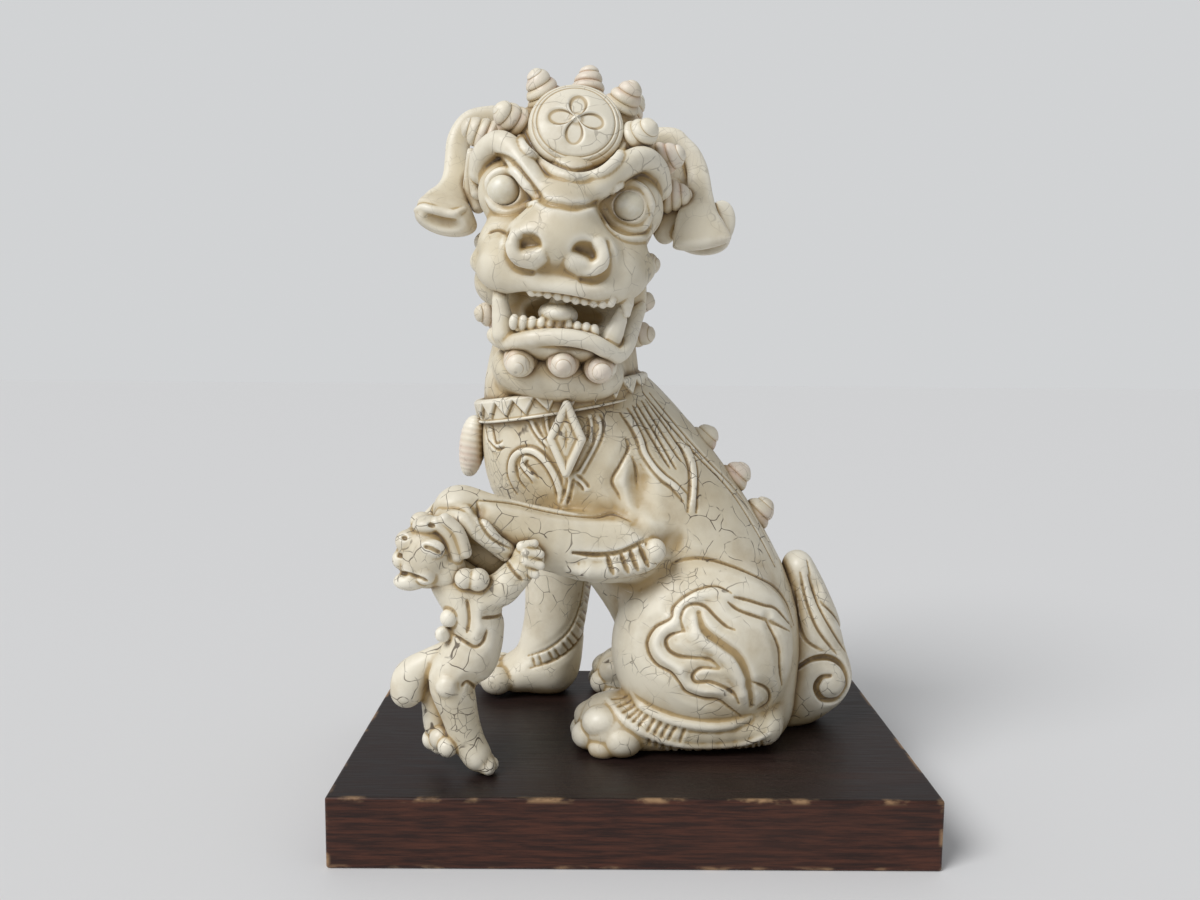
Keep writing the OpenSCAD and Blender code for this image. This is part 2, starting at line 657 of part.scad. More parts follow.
spine_at = [[27, 118], [42, 101], [54, 84]];
spine_dir = [0.78, 0, 0.62];

module wooden_base() {
  w = base_w / 2;
  d = base_d / 2;
  b = base_bevel;
  module eased(half, length) {
    rotate([90, 0, 0]) linear_extrude(length, center = true)
      polygon([[-half, 0], [half, 0], [half, base_t - b], [half - b, base_t], [b - half, base_t],
               [-half, base_t - b]]);
  }
  color(wood) difference() {
    intersection() {
      eased(w, base_d);
      rotate([0, 0, 90]) eased(d, base_w);
    }
    translate([felt_rim - w - seat_gap, felt_rim - d - seat_gap, -1])
      cube([base_w - 2 * felt_rim + 2 * seat_gap, base_d - 2 * felt_rim + 2 * seat_gap, felt_t + 1]);
    translate([0, 0, base_t]) screws(seat_gap);
  }
}

module felt_sheet() {
  color(felt) translate([felt_rim - base_w / 2, felt_rim - base_d / 2, 0])
    cube([base_w - 2 * felt_rim, base_d - 2 * felt_rim, felt_t]);
}

module base_screws() {
  color(steel) on_base() screws();
}

module on_base() {
  translate([0, 0, base_t]) children();
}

module body_casting() {
  color(cream) on_base() difference() {
    body_form();
    above_seam();
    below_deck();
    at_collar() collar_seat();
    standing_plug(seat_gap);
    raised_plug(seat_gap);
    tail_plug(seat_gap);
    bud(3 * seat_gap, 30, hole_sides);
    pendant(seat_gap);
    for (p = spine_at)
      aim([p[0], lion_y, p[1]], spine_dir) curl_seat(spine_curl_d);
    dowel_seat(neck_pin, neck_dowel_len);
    for (pin = [standing_pin, raised_pin, tail_pin])
      dowel_seat(pin, limb_dowel_len);
    pilot_holes();
  }
}

module standing_foreleg() {
  color(cream) on_base() difference() {
    standing_form();
    below_deck();
    dowel_seat(standing_pin, limb_dowel_len);
    pilot_holes();
  }
}

module raised_foreleg() {
  color(cream) on_base() difference() {
    raised_form();
    cub_form(seat_gap);
    cub_head_form(seat_gap);
    dowel_seat(raised_pin, limb_dowel_len);
  }
}

module tail() {
  color(cream) on_base() difference() {
    tail_form();
    below_deck();
    dowel_seat(tail_pin, limb_dowel_len);
  }
}

module head_casting() {
  color(cream) on_base() difference() {
    union() {
      loft(neck_line, sides = 16);
      at_head() head_form();
    }
    at_head() {
      mouth();
      nostrils();
      jaw_plug(seat_gap);
      disc_seat();
      mirrored() translate(eye_at) sphere((eye_r + seat_gap) / cos(15), $fn = 12);
      mirrored() ear_form(seat_gap);
      for (s = crown_spots) on_skull(s, curl_sink) curl_seat(curl_d);
      on_cheeks() curl_seat(small_curl_d);
      on_chin() curl_seat(small_curl_d);
    }
    below_seam();
    dowel_seat(neck_pin, neck_dowel_len);
  }
}

module lower_jaw() {
  color(cream) on_base() at_head() difference() {
    jaw_form();
    on_cheeks() curl_seat(small_curl_d);
    on_chin() curl_seat(small_curl_d);
  }
}

module eyes() {
  color(pearl) on_base() at_head() mirrored() translate(eye_at) sphere(eye_r, $fn = 32);
}

module right_ear() {
  color(cream) on_base() at_head() ear_form();
}

module left_ear() {
  color(cream) on_base() at_head() mirror([1, 0, 0]) ear_form();
}

module crown_medallion() {
  color(cream) on_base() at_head() crown_disc();
}

module crown_curls() {
  color(tinted) on_base() at_head() for (s = crown_spots) on_skull(s, curl_sink) curl(curl_d);
}

module cheek_curls() {
  color(tinted) on_base() at_head() on_cheeks() curl(small_curl_d);
}

module chin_curls() {
  color(tinted) on_base() at_head() on_chin() curl(small_curl_d);
}

module collar() {
  outer = collar_r + collar_t;
  ease = 1;
  h = collar_h / 2;
  color(cream) on_base() difference() {
    at_collar() rotate_extrude($fn = 64)
      polygon([[collar_r, -h], [outer - ease, -h], [outer, ease - h], [outer, h - ease], [outer - ease, h],
               [collar_r, h]]);
    pendant(seat_gap);
  }
}

module collar_bud() {
  color(tinted) on_base() bud();
}

module chest_pendant() {
  color(cream) on_base() pendant();
}

module spine_curls() {
  color(tinted) on_base() for (p = spine_at) aim([p[0], lion_y, p[1]], spine_dir) curl(spine_curl_d);
}

module cub_body() {
  color(cream) on_base() difference() {
    cub_form();
    below_deck();
    cub_head_form(seat_gap);
    dowel_seat(cub_pin, limb_dowel_len);
  }
}

module cub_head() {
  color(cream) on_base() difference() {
    cub_head_form();
    dowel_seat(cub_pin, limb_dowel_len);
  }
}

module neck_dowel() {
  color(steel) on_base() dowel(neck_pin, neck_dowel_len);
}

module limb_dowels() {
  color(steel) on_base() for (pin = [standing_pin, raised_pin, tail_pin, cub_pin])
    dowel(pin, limb_dowel_len);
}

wooden_base();
felt_sheet();
base_screws();
body_casting();
standing_foreleg();
raised_foreleg();
head_casting();
lower_jaw();
eyes();
left_ear();
right_ear();
crown_medallion();
crown_curls();
cheek_curls();
chin_curls();
collar();
collar_bud();
chest_pendant();
spine_curls();
tail();
cub_body();
cub_head();
neck_dowel();
limb_dowels();
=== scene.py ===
"""Guardian lion figurine: the looks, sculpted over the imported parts, in their frame.

Sculpting is in millimetres. Heights in the figure count from the top of the base, the lion's body
faces -X and its head is turned to -Y, towards the camera.
"""
import math

import bmesh
import bpy
import numpy as np
import openvdb
from mathutils import Matrix, Vector


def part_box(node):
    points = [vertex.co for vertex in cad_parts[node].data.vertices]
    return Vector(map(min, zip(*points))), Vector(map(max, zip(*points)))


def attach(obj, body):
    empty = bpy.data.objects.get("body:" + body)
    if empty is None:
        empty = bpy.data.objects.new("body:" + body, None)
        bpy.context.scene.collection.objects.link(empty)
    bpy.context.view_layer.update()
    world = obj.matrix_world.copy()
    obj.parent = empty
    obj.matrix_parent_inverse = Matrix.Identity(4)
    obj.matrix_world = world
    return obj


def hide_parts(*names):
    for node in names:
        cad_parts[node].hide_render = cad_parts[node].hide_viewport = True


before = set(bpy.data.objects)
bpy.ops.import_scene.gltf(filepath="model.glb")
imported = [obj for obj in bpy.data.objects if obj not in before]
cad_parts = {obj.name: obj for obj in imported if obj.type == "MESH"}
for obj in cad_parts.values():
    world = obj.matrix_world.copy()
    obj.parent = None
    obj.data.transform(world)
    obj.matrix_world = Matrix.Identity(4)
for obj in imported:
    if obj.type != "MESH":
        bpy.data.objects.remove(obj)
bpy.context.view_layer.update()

MM = 0.001
BASE_LOW, BASE_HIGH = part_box("wooden_base")
DECK = BASE_HIGH.z / MM

# Camera, matched to the corners of the base in the photograph
PHOTO_W, PHOTO_H = 1200, 900
LENS_MM, SENSOR_MM = 30, 36
FOCAL_PX = PHOTO_W * LENS_MM / SENSOR_MM
CAMERA_AT = Vector((-15.2, -408.4, 187.3))
PITCH, YAW, ROLL = (math.radians(a) for a in (6.16, -0.29, 0.46))
camera_turn = (Matrix.Rotation(YAW, 4, "Z") @ Matrix.Rotation(math.pi / 2 - PITCH, 4, "X")
               @ Matrix.Rotation(ROLL, 4, "Z"))

camera = bpy.data.objects.new("camera", bpy.data.cameras.new("camera"))
camera.data.lens = LENS_MM
camera.data.sensor_width = SENSOR_MM
camera.data.clip_start = 0.01
camera.matrix_world = Matrix.Translation(CAMERA_AT * MM) @ camera_turn
bpy.context.scene.collection.objects.link(camera)
bpy.context.scene.camera = camera

# Frames of the figure and of its leaning head
LION_Y = 10
HEAD_AT = Vector((-25, -2, 215))
HEAD_LEAN = math.radians(7)
FIGURE = Matrix.Translation((0, 0, DECK))
HEAD = FIGURE @ Matrix.Translation(HEAD_AT) @ Matrix.Rotation(HEAD_LEAN, 4, "Y")
COLLAR_AT = (-29, LION_Y - 1, 138)
COLLAR_LEAN = math.radians(-10)
COLLAR = FIGURE @ Matrix.Translation(COLLAR_AT) @ Matrix.Rotation(COLLAR_LEAN, 4, "Y")


# Sculpting

def unit(v):
    v = np.asarray(v, float)
    return v / np.maximum(np.linalg.norm(v, axis=-1, keepdims=True), 1e-9)


def curve(points, steps=6):
    """Smooth curve through points of any width."""
    p = np.asarray(points, float)
    a, b = np.vstack((p[:1], p[:-2])), p[:-1]
    c, d = p[1:], np.vstack((p[2:], p[-1:]))
    a, b, c, d = (q[:, None, :] for q in (a, b, c, d))
    t = (np.arange(steps) / steps)[None, :, None]
    q = 0.5 * (2 * b + (c - a) * t + (2 * a - 5 * b + 4 * c - d) * t ** 2
               + (3 * b - a - 3 * c + d) * t ** 3)
    return np.vstack((q.reshape(-1, p.shape[1]), p[-1:]))


def rays(place, pixels):
    """Camera point and directions through pixels of the photograph, in a place's own frame."""
    px = np.asarray(pixels, float).reshape(-1, 2)
    d = np.column_stack(((px[:, 0] - PHOTO_W / 2) / FOCAL_PX, (PHOTO_H / 2 - px[:, 1]) / FOCAL_PX,
                         -np.ones(len(px))))
    back = np.array(place.inverted())
    origin = back[:3, :3] @ np.array(CAMERA_AT) + back[:3, 3]
    turn = back[:3, :3] @ np.array(camera_turn.to_3x3())
    return origin, unit(d @ turn.T)


def spot(place, pixel, y):
    """Point of a place's frame that a pixel shows at depth y."""
    origin, way = rays(place, pixel)
    return origin + way[0] * (y - origin[1]) / way[0][1]


def spots(place, pixels, y):
    """Points for several pixels, at one depth or at a depth each."""
    return np.array([spot(place, p, d) for p, d in zip(pixels, np.broadcast_to(y, len(pixels)))])


def soft_min(a, b, k):
    """The lesser of two distances, with a blend of width k where they meet."""
    h = np.maximum(k - np.abs(a - b), 0) / k
    return np.minimum(a, b) - h * h * k * 0.25


def egg_gap(offset, radii):
    """Distance to an egg's surface, true close to it. The offset counts from its middle."""
    k0 = np.sqrt(sum((v / r) ** 2 for v, r in zip(offset, radii)))
    k1 = np.sqrt(sum((v / r ** 2) ** 2 for v, r in zip(offset, radii)))
    return np.float32(k0 * (k0 - 1) / np.maximum(k1, 1e-6))


def between(field, at):
    """Values of a grid between its points. at counts in cells."""
    count = np.array(field.shape)
    i = np.clip(np.floor(at).astype(int), 0, count - 2)
    f = np.clip(at - i, 0, 1)
    flat = field.ravel()
    step = np.array((count[1] * count[2], count[2], 1))
    first = i @ step
    total = 0
    for a, b, c in np.ndindex(2, 2, 2):
        weight = ((f[:, 0] if a else 1 - f[:, 0]) * (f[:, 1] if b else 1 - f[:, 1])
                  * (f[:, 2] if c else 1 - f[:, 2]))
        total = total + weight * flat[first + (a, b, c) @ step]
    return total


class Clay:
    """Clay to sculpt: distances to its surface, below zero inside, on a regular grid.

    In every call k is the width of the blend with what is there.
    """

    FAR, FACE, QUICK_CELLS = 60.0, (0, 1, 0), 1.7
    # How far a ray is searched each way, and its steps
    SEARCH, STEP = 110, 0.5
    # A stroke is full after one part in TAPER of its length
    TAPER = 6
    # A weld's skin lies SINK lower than the other surface, and goes OVERLAP deep under it
    SINK, OVERLAP = 0.04, 1.0

    def __init__(self, place, low, high, cell):
        self.place = place
        self.cell = cell * 1
        self.low = np.array(low, float)
        self.count = np.ceil((np.array(high) - self.low) / self.cell).astype(int) + 1
        self.d = np.full(self.count, self.FAR, np.float32)
        self.axes = [np.float32(a + self.cell * np.arange(n)) for a, n in zip(self.low, self.count)]

    def window(self, low, high):
        first = np.clip(np.floor((low - self.low) / self.cell).astype(int), 0, self.count - 1)
        last = np.clip(np.ceil((high - self.low) / self.cell).astype(int) + 1, first + 1, self.count)
        x, y, z = (axis[a:b] for axis, a, b in zip(self.axes, first, last))
        where = tuple(slice(a, b) for a, b in zip(first, last))
        return where, x[:, None, None], y[None, :, None], z[None, None, :]

    def apply(self, where, d, k, carve):
        if carve:
            self.d[where] = -soft_min(-self.d[where], d, k)
        else:
            self.d[where] = soft_min(self.d[where], d, k)

    def egg(self, at, radii, k=2.0, carve=False, turn=None):
        """Adds or carves an egg with three half axes. turn is a rotation matrix."""
        at, radii = np.asarray(at, float), np.asarray(radii, float)
        reach = radii.max() + k + 2 * self.cell
        where, x, y, z = self.window(at - reach, at + reach)
        x, y, z = x - at[0], y - at[1], z - at[2]
        if turn is not None:
            m = np.array(turn.to_3x3()).T
            x, y, z = (m[i][0] * x + m[i][1] * y + m[i][2] * z for i in range(3))
        self.apply(where, egg_gap((x, y, z), radii), k, carve)

    def dab(self, pixel, y, radii, k=2.0, carve=False, turn=None):
        """Adds or carves an egg at depth y behind a pixel of the photograph."""
        self.egg(spot(self.place, pixel, y), radii, k, carve, turn)

    def along(self, points, reach, nearer, k, carve):
        """Adds or carves a form along points. nearer brings in what one stretch between two points adds."""
        where, *_ = self.window(points.min(0) - reach, points.max(0) + reach)
        start = [s.start for s in where]
        d = np.full([s.stop - s.start for s in where], self.FAR, np.float32)
        for i, (a, b) in enumerate(zip(points[:-1], points[1:])):
            inner, x, y, z = self.window(np.minimum(a, b) - reach, np.maximum(a, b) + reach)
            inner = tuple(slice(s.start - o, s.stop - o) for s, o in zip(inner, start))
            e = b - a
            x, y, z = x - a[0], y - a[1], z - a[2]
            h = np.clip((x * e[0] + y * e[1] + z * e[2]) / max(e @ e, 1e-9), 0, 1)
            d[inner] = nearer(d[inner], i, h, e, (x - h * e[0], y - h * e[1], z - h * e[2]))
        self.apply(where, d, k, carve)

    def rod(self, points, radii, k=2.0, carve=False):
        """Adds or carves a round rod along points."""
        p = np.asarray(points, float)
        r = np.broadcast_to(np.asarray(radii, float), len(p))

        def nearer(d, i, h, e, offset):
            far = np.sqrt(sum(v ** 2 for v in offset))
            return np.minimum(d, far - (r[i] + h * (r[i + 1] - r[i])))

        self.along(p, r.max() + k + 2 * self.cell, nearer, k, carve)

    def loft(self, stations, steps=4, k=3.0, blend=1.0):
        """Adds a form along stations [x, y, z, half width, half thickness], thick along FACE."""
        s = curve(stations, steps)

        def nearer(d, i, h, e, offset):
            t = unit(e)
            u = unit(np.cross(self.FACE, t))
            offset = [sum(v * o for v, o in zip(axis, offset)) for axis in (u, np.cross(t, u), t)]
            wide, thick = (s[i, j] + h * (s[i + 1, j] - s[i, j]) for j in (3, 4))
            return soft_min(d, egg_gap(offset, (wide, thick, np.minimum(wide, thick))), blend)

        self.along(s[:, :3], s[:, 3:].max() + k + 2 * self.cell, nearer, k, False)

    def below(self, z, k=0.6):
        """Cuts everything below a height."""
        self.d = -soft_min(-self.d, self.axes[2][None, None, :] - np.float32(z), k)

    def sample(self, points):
        return between(self.d, (points - self.low) / self.cell)

    def slope(self, points):
        h = self.cell * np.eye(3)
        return np.column_stack([(self.sample(points + e) - self.sample(points - e)) / (2 * self.cell)
                                for e in h])

    def hit(self, pixels):
        """Where rays through pixels of the photograph meet the clay, and its outward directions there."""
        origin, ways = rays(self.place, pixels)
        middle = np.linalg.norm(self.low + self.cell * self.count / 2 - origin)
        t = np.arange(middle - self.SEARCH, middle + self.SEARCH, self.STEP)
        found = []
        for way in ways:
            value = self.sample(origin + t[:, None] * way)
            inside = np.flatnonzero(value < 0)
            i = inside[0] if len(inside) else int(np.argmin(value))
            back = self.STEP * value[i] / (value[i] - value[i - 1]) if len(inside) and i else 0
            found.append(origin + (t[i] - back) * way)
        found = np.array(found)
        return found, unit(self.slope(found))

    def ridge(self, pixels, r, rise, k=1.0, ends=0.5, twin=None, steps=6):
        """Lays a raised line on the surface, along pixels. twin repeats it elsewhere."""
        self._stroke(pixels, r, -(r - rise), k, ends, twin, steps, False)

    def groove(self, pixels, r, depth, k=0.7, ends=0.5, twin=None, steps=6):
        """Cuts a line into the surface, along pixels. twin repeats it elsewhere."""
        self._stroke(pixels, r, r - depth, k, ends, twin, steps, True)

    def seam(self, *lines, twin=None):
        """Carved lines: a soft dip with a fine cut along its bottom."""
        for line in lines:
            self.groove(line, r=3.4, depth=0.55, k=2.4, twin=twin)
            self.groove(line, r=0.75, depth=0.75, k=0.4, twin=twin)

    def band(self, pixels, half, rise, twin=None):
        """A low ribbon along pixels, with a carved line on both sides. half is in pixels."""
        self.ridge(pixels, r=2.6, rise=rise, k=1.2, twin=twin)
        line = curve(pixels, 6)
        along = unit(np.gradient(line, axis=0))
        across = np.column_stack((-along[:, 1], along[:, 0])) * half
        for edge in (line[::4] + across[::4], line[::4] - across[::4]):
            self.groove(edge, r=0.8, depth=0.8, k=0.5, twin=twin)

    def flutes(self, top, low, shares, across, r, depth, drop=(0, 0), steps=4, twin=None):
        """Cuts grooves between two lines of pixels, at shares of their length, across a part of the way."""
        top, low = curve(top, 8), curve(low, 8)
        for share in shares:
            a, b = (line[int(share * (len(line) - 1))] for line in (top, low))
            ends = [a + (b - a) * across[0], a + (b - a) * across[1] + drop]
            self.groove(ends, r, depth, twin=twin, steps=steps)

    def _stroke(self, pixels, r, lift, k, ends, twin, steps, carve):
        line, out = self.hit(curve(pixels, steps))
        t = np.linspace(0, 1, len(line))
        taper = ends + (1 - ends) * np.clip(np.minimum(t, 1 - t) * self.TAPER, 0, 1)
        line = line + out * lift
        self.rod(line, r * taper, k, carve)
        if twin is not None:
            self.rod(twin(line), r * taper, k, carve)

    def weld(self, other, k):
        """Runs this form out onto another piece's surface in a smooth fillet."""
        x, y, z = np.meshgrid(*self.axes, indexing="ij")
        near = self.d < k + 3 * self.cell
        points = np.column_stack((x[near], y[near], z[near]))
        there = other.sample(points).astype(np.float32)
        here = self.d[near]
        both = np.maximum(soft_min(here, there, k) + self.SINK, here - k)
        self.d[near] = np.maximum(both, -(there + self.OVERLAP))

    def skin(self):
        """Points and quads of the surface."""
        band = 3 * self.cell
        grid = openvdb.FloatGrid(band)
        grid.copyFromArray(np.clip(self.d, -band, band))
        points, quads = grid.convertToQuads(isovalue=0)
        points = self.low + np.asarray(points, float) * self.cell
        for _ in range(2):
            slope = self.slope(points)
            step = np.clip(self.sample(points), -0.4 * self.cell, 0.4 * self.cell)
            points = points - slope * (step / np.maximum((slope ** 2).sum(1), 0.3))[:, None]
        return points, np.asarray(quads, int)


# Meshes

made = []


def piece(name, points, faces, place, material, nodes, slot, crazed=1.0):
    """Makes a piece of the figurine from points in a place's frame, over the nodes that it stands for."""
    m = np.array(place)
    world = np.asarray(points, float) @ m[:3, :3].T + m[:3, 3]
    faces = np.asarray(faces, int)
    a, b, c = (world[faces[:, i]] for i in (0, 1, 2))
    d = world[faces[:, -1]]
    volume = (np.cross(a, b) * c).sum() + (np.cross(a, c) * d).sum()
    if volume < 0:
        faces = faces[:, ::-1]
    mesh = bpy.data.meshes.new(name)
    mesh.from_pydata(world * MM, [], faces)
    mesh.shade_smooth()
    mesh.materials.append(material)
    made_piece = bpy.data.objects.new(name, mesh)
    bpy.context.scene.collection.objects.link(made_piece)
    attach(made_piece, "root")
    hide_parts(*nodes)
    note(mesh, "crazed", np.full(len(world), crazed))
    note(mesh, "crease", creases(world, faces))
    made.append((mesh, world, faces))


def cast(node, clay, crazed=1.0):
    """Makes a sculpted piece of crackled cream."""
    piece(node + "_cast", *clay.skin(), clay.place, cream, [node], "crackled_cream", crazed)


def note(mesh, name, values):
    """Keeps a value at each point of a mesh, for its material."""
    layer = mesh.attributes.new(name, "FLOAT", "POINT")
    layer.data.foreach_set("value", np.float32(values))


def creases(points, faces):
    """How sharply the surface bends inwards at each point, in 1/mm."""
    n = len(points)
    a, b = faces.ravel(), np.roll(faces, -1, 1).ravel()
    count = np.maximum(np.bincount(a, minlength=n), 1)

    def around(values):
        return np.bincount(a, values, n) / count

    corner = points[faces]
    across = np.cross(corner[:, 2] - corner[:, 0], corner[:, -1] - corner[:, 1])
    across = np.repeat(across, faces.shape[1], axis=0)
    normal = unit(np.column_stack([np.bincount(a, across[:, i], n) for i in range(3)]))
    mean = np.column_stack([around(points[b, i]) for i in range(3)])
    length = around(((points[b] - points[a]) ** 2).sum(1))
    bend = 4 * ((mean - points) * normal).sum(1) / np.maximum(length, 1e-4)
    for _ in range(2):
        bend = 0.5 * bend + 0.5 * around(bend[b])
    return np.clip(bend, -3, 3)


def sheet_faces(rows, columns):
    """Quads of a grid of points, row by row, with its last column joined to the first."""
    i, j = np.meshgrid(np.arange(rows - 1), np.arange(columns), indexing="ij")
    i, j = i.ravel(), j.ravel()
    k = (j + 1) % columns
    return np.column_stack((i * columns + j, i * columns + k, (i + 1) * columns + k, (i + 1) * columns + j))


def angles(sides):
    return np.linspace(0, 2 * math.pi, sides, endpoint=False)[None, :]


def turned(r, z, q):
    """Points and quads of a round form, from its radii and heights in rows, at angles q."""
    r, z, q = np.broadcast_arrays(r, z, q)
    points = np.stack((r * np.cos(q), r * np.sin(q), z), -1).reshape(-1, 3)
    return points, sheet_faces(*r.shape)


def joined(parts):
    """One set of points and faces from several."""
    points, faces, first = [], [], 0
    for p, f in parts:
        points.append(p)
        faces.append(np.asarray(f) + first)
        first += len(p)
    return np.vstack(points), np.vstack(faces)


def aim(at, way, spin=0.0):
    """Matrix that turns +Z to a direction, at a place."""
    return (Matrix.Translation(Vector(at)) @ Vector(way).to_track_quat("Z", "Y").to_matrix().to_4x4()
            @ Matrix.Rotation(spin, 4, "Z"))


def moved(matrix, points):
    m = np.array(matrix)
    return points @ m[:3, :3].T + m[:3, 3]


# Turns of a curl, and shares of its size: how much it narrows, its coils' depth, its blunt tip and its foot
CURL_TURNS, CURL_CONE, COIL_DEPTH, CURL_TIP, CURL_TALL = 3.4, 0.62, 0.18, 0.2, 0.84
FOOT_WIDE, FOOT_H = 0.42, 3.0


def snail(d, sides=48, rows=76):
    """Snail-shell curl of a diameter on a plain foot: round coils that wind up to a blunt tip."""
    v, q = np.linspace(0, 1, rows)[:, None], angles(sides)
    coil = CURL_TURNS * v ** 0.9 - q / (2 * math.pi)
    bulge = np.sqrt(np.abs(np.sin(math.pi * coil)))
    tip = np.sqrt(np.clip(1 - (np.maximum(v - (1 - CURL_TIP), 0) / CURL_TIP) ** 2, 0, 1))
    shell = d / 2 * (1 - CURL_CONE * v ** 1.5) * (1 - COIL_DEPTH * (1 - bulge)) * tip + 0.01
    foot = np.full((2, sides), FOOT_WIDE * d) * ((0.01,), (1,))
    return turned(np.vstack((foot, shell)), np.vstack((-FOOT_H, -FOOT_H, CURL_TALL * d * v)), q)


# Materials

class Paint:
    """A material's nodes."""

    def __init__(self, name):
        self.material = bpy.data.materials.new(name)
        self.material.use_nodes = True
        self.tree = self.material.node_tree
        self.shader = self.tree.nodes["Principled BSDF"]
        self.where = self.node("ShaderNodeTexCoord").outputs["Object"]

    def node(self, kind, inputs=None, **settings):
        made_node = self.tree.nodes.new(kind)
        for key, value in settings.items():
            setattr(made_node, key, value)
        for key, value in (inputs or {}).items():
            self.put(made_node.inputs[key], value)
        return made_node

    def put(self, socket, value):
        if isinstance(value, bpy.types.NodeSocket):
            self.tree.links.new(value, socket)
        else:
            socket.default_value = value

    def math(self, operation, a, b=0.0, clamp=False):
        return self.node("ShaderNodeMath", {0: a, 1: b}, operation=operation, use_clamp=clamp).outputs[0]

    def scaled(self, factors, where=None):
        return self.node("ShaderNodeVectorMath", {0: where or self.where, 1: factors},
                         operation="MULTIPLY").outputs[0]

    def noise(self, scale, detail=3.0, where=None, rough=0.55):
        return self.node("ShaderNodeTexNoise", {"Vector": where or self.where, "Scale": scale,
                                                "Detail": detail, "Roughness": rough}).outputs[0]

    def ramp(self, value, low, high, to_low=0.0, to_high=1.0):
        return self.node("ShaderNodeMapRange", {"Value": value, "From Min": low, "From Max": high,
                                                "To Min": to_low, "To Max": to_high},
                         interpolation_type="SMOOTHSTEP").outputs[0]

    def mix(self, share, a, b):
        mixer = self.node("ShaderNodeMix", data_type="RGBA")
        self.put(mixer.inputs[0], share)
        for socket, value in ((mixer.inputs[6], a), (mixer.inputs[7], b)):
            self.put(socket, value if isinstance(value, bpy.types.NodeSocket) else (*value, 1.0))
        return mixer.outputs[2]

    def coat(self, colour, by, low, high, share, tone):
        """Lays a share of a tone over a colour, where a value runs from low to high."""
        return self.mix(self.math("MULTIPLY", self.ramp(by, low, high), share), colour, tone)

    def attribute(self, name):
        return self.node("ShaderNodeAttribute", attribute_name=name).outputs["Fac"]

    def set(self, **values):
        for key, value in values.items():
            self.put(self.shader.inputs[key.replace("_", " ").title().replace("Ior", "IOR")], value)

    def bump(self, height, strength, distance):
        normal = self.node("ShaderNodeBump", {"Height": height, "Strength": strength, "Distance": distance})
        self.put(self.shader.inputs["Normal"], normal.outputs[0])


TAN, EXPOSED_HIGHLIGHT, GRIME, HOLLOW_WASH_AND_SHADE = (0.62, 0.53, 0.37), (0.86, 0.82, 0.71), (0.50, 0.42, 0.29), (0.44, 0.32, 0.155)
GROOVE_WASH_AND_SHADE, EDGE_HIGHLIGHT_AND_WEAR, CREASE_WASH_AND_SHADE = (0.29, 0.19, 0.085), (0.87, 0.83, 0.73), (0.43, 0.30, 0.13)
SHARP_CREASE_WASH_AND_SHADE, DEEP_GROOVE_WASH_AND_SHADE, CRACK = (0.15, 0.095, 0.045), (0.085, 0.052, 0.026), (0.075, 0.05, 0.03)


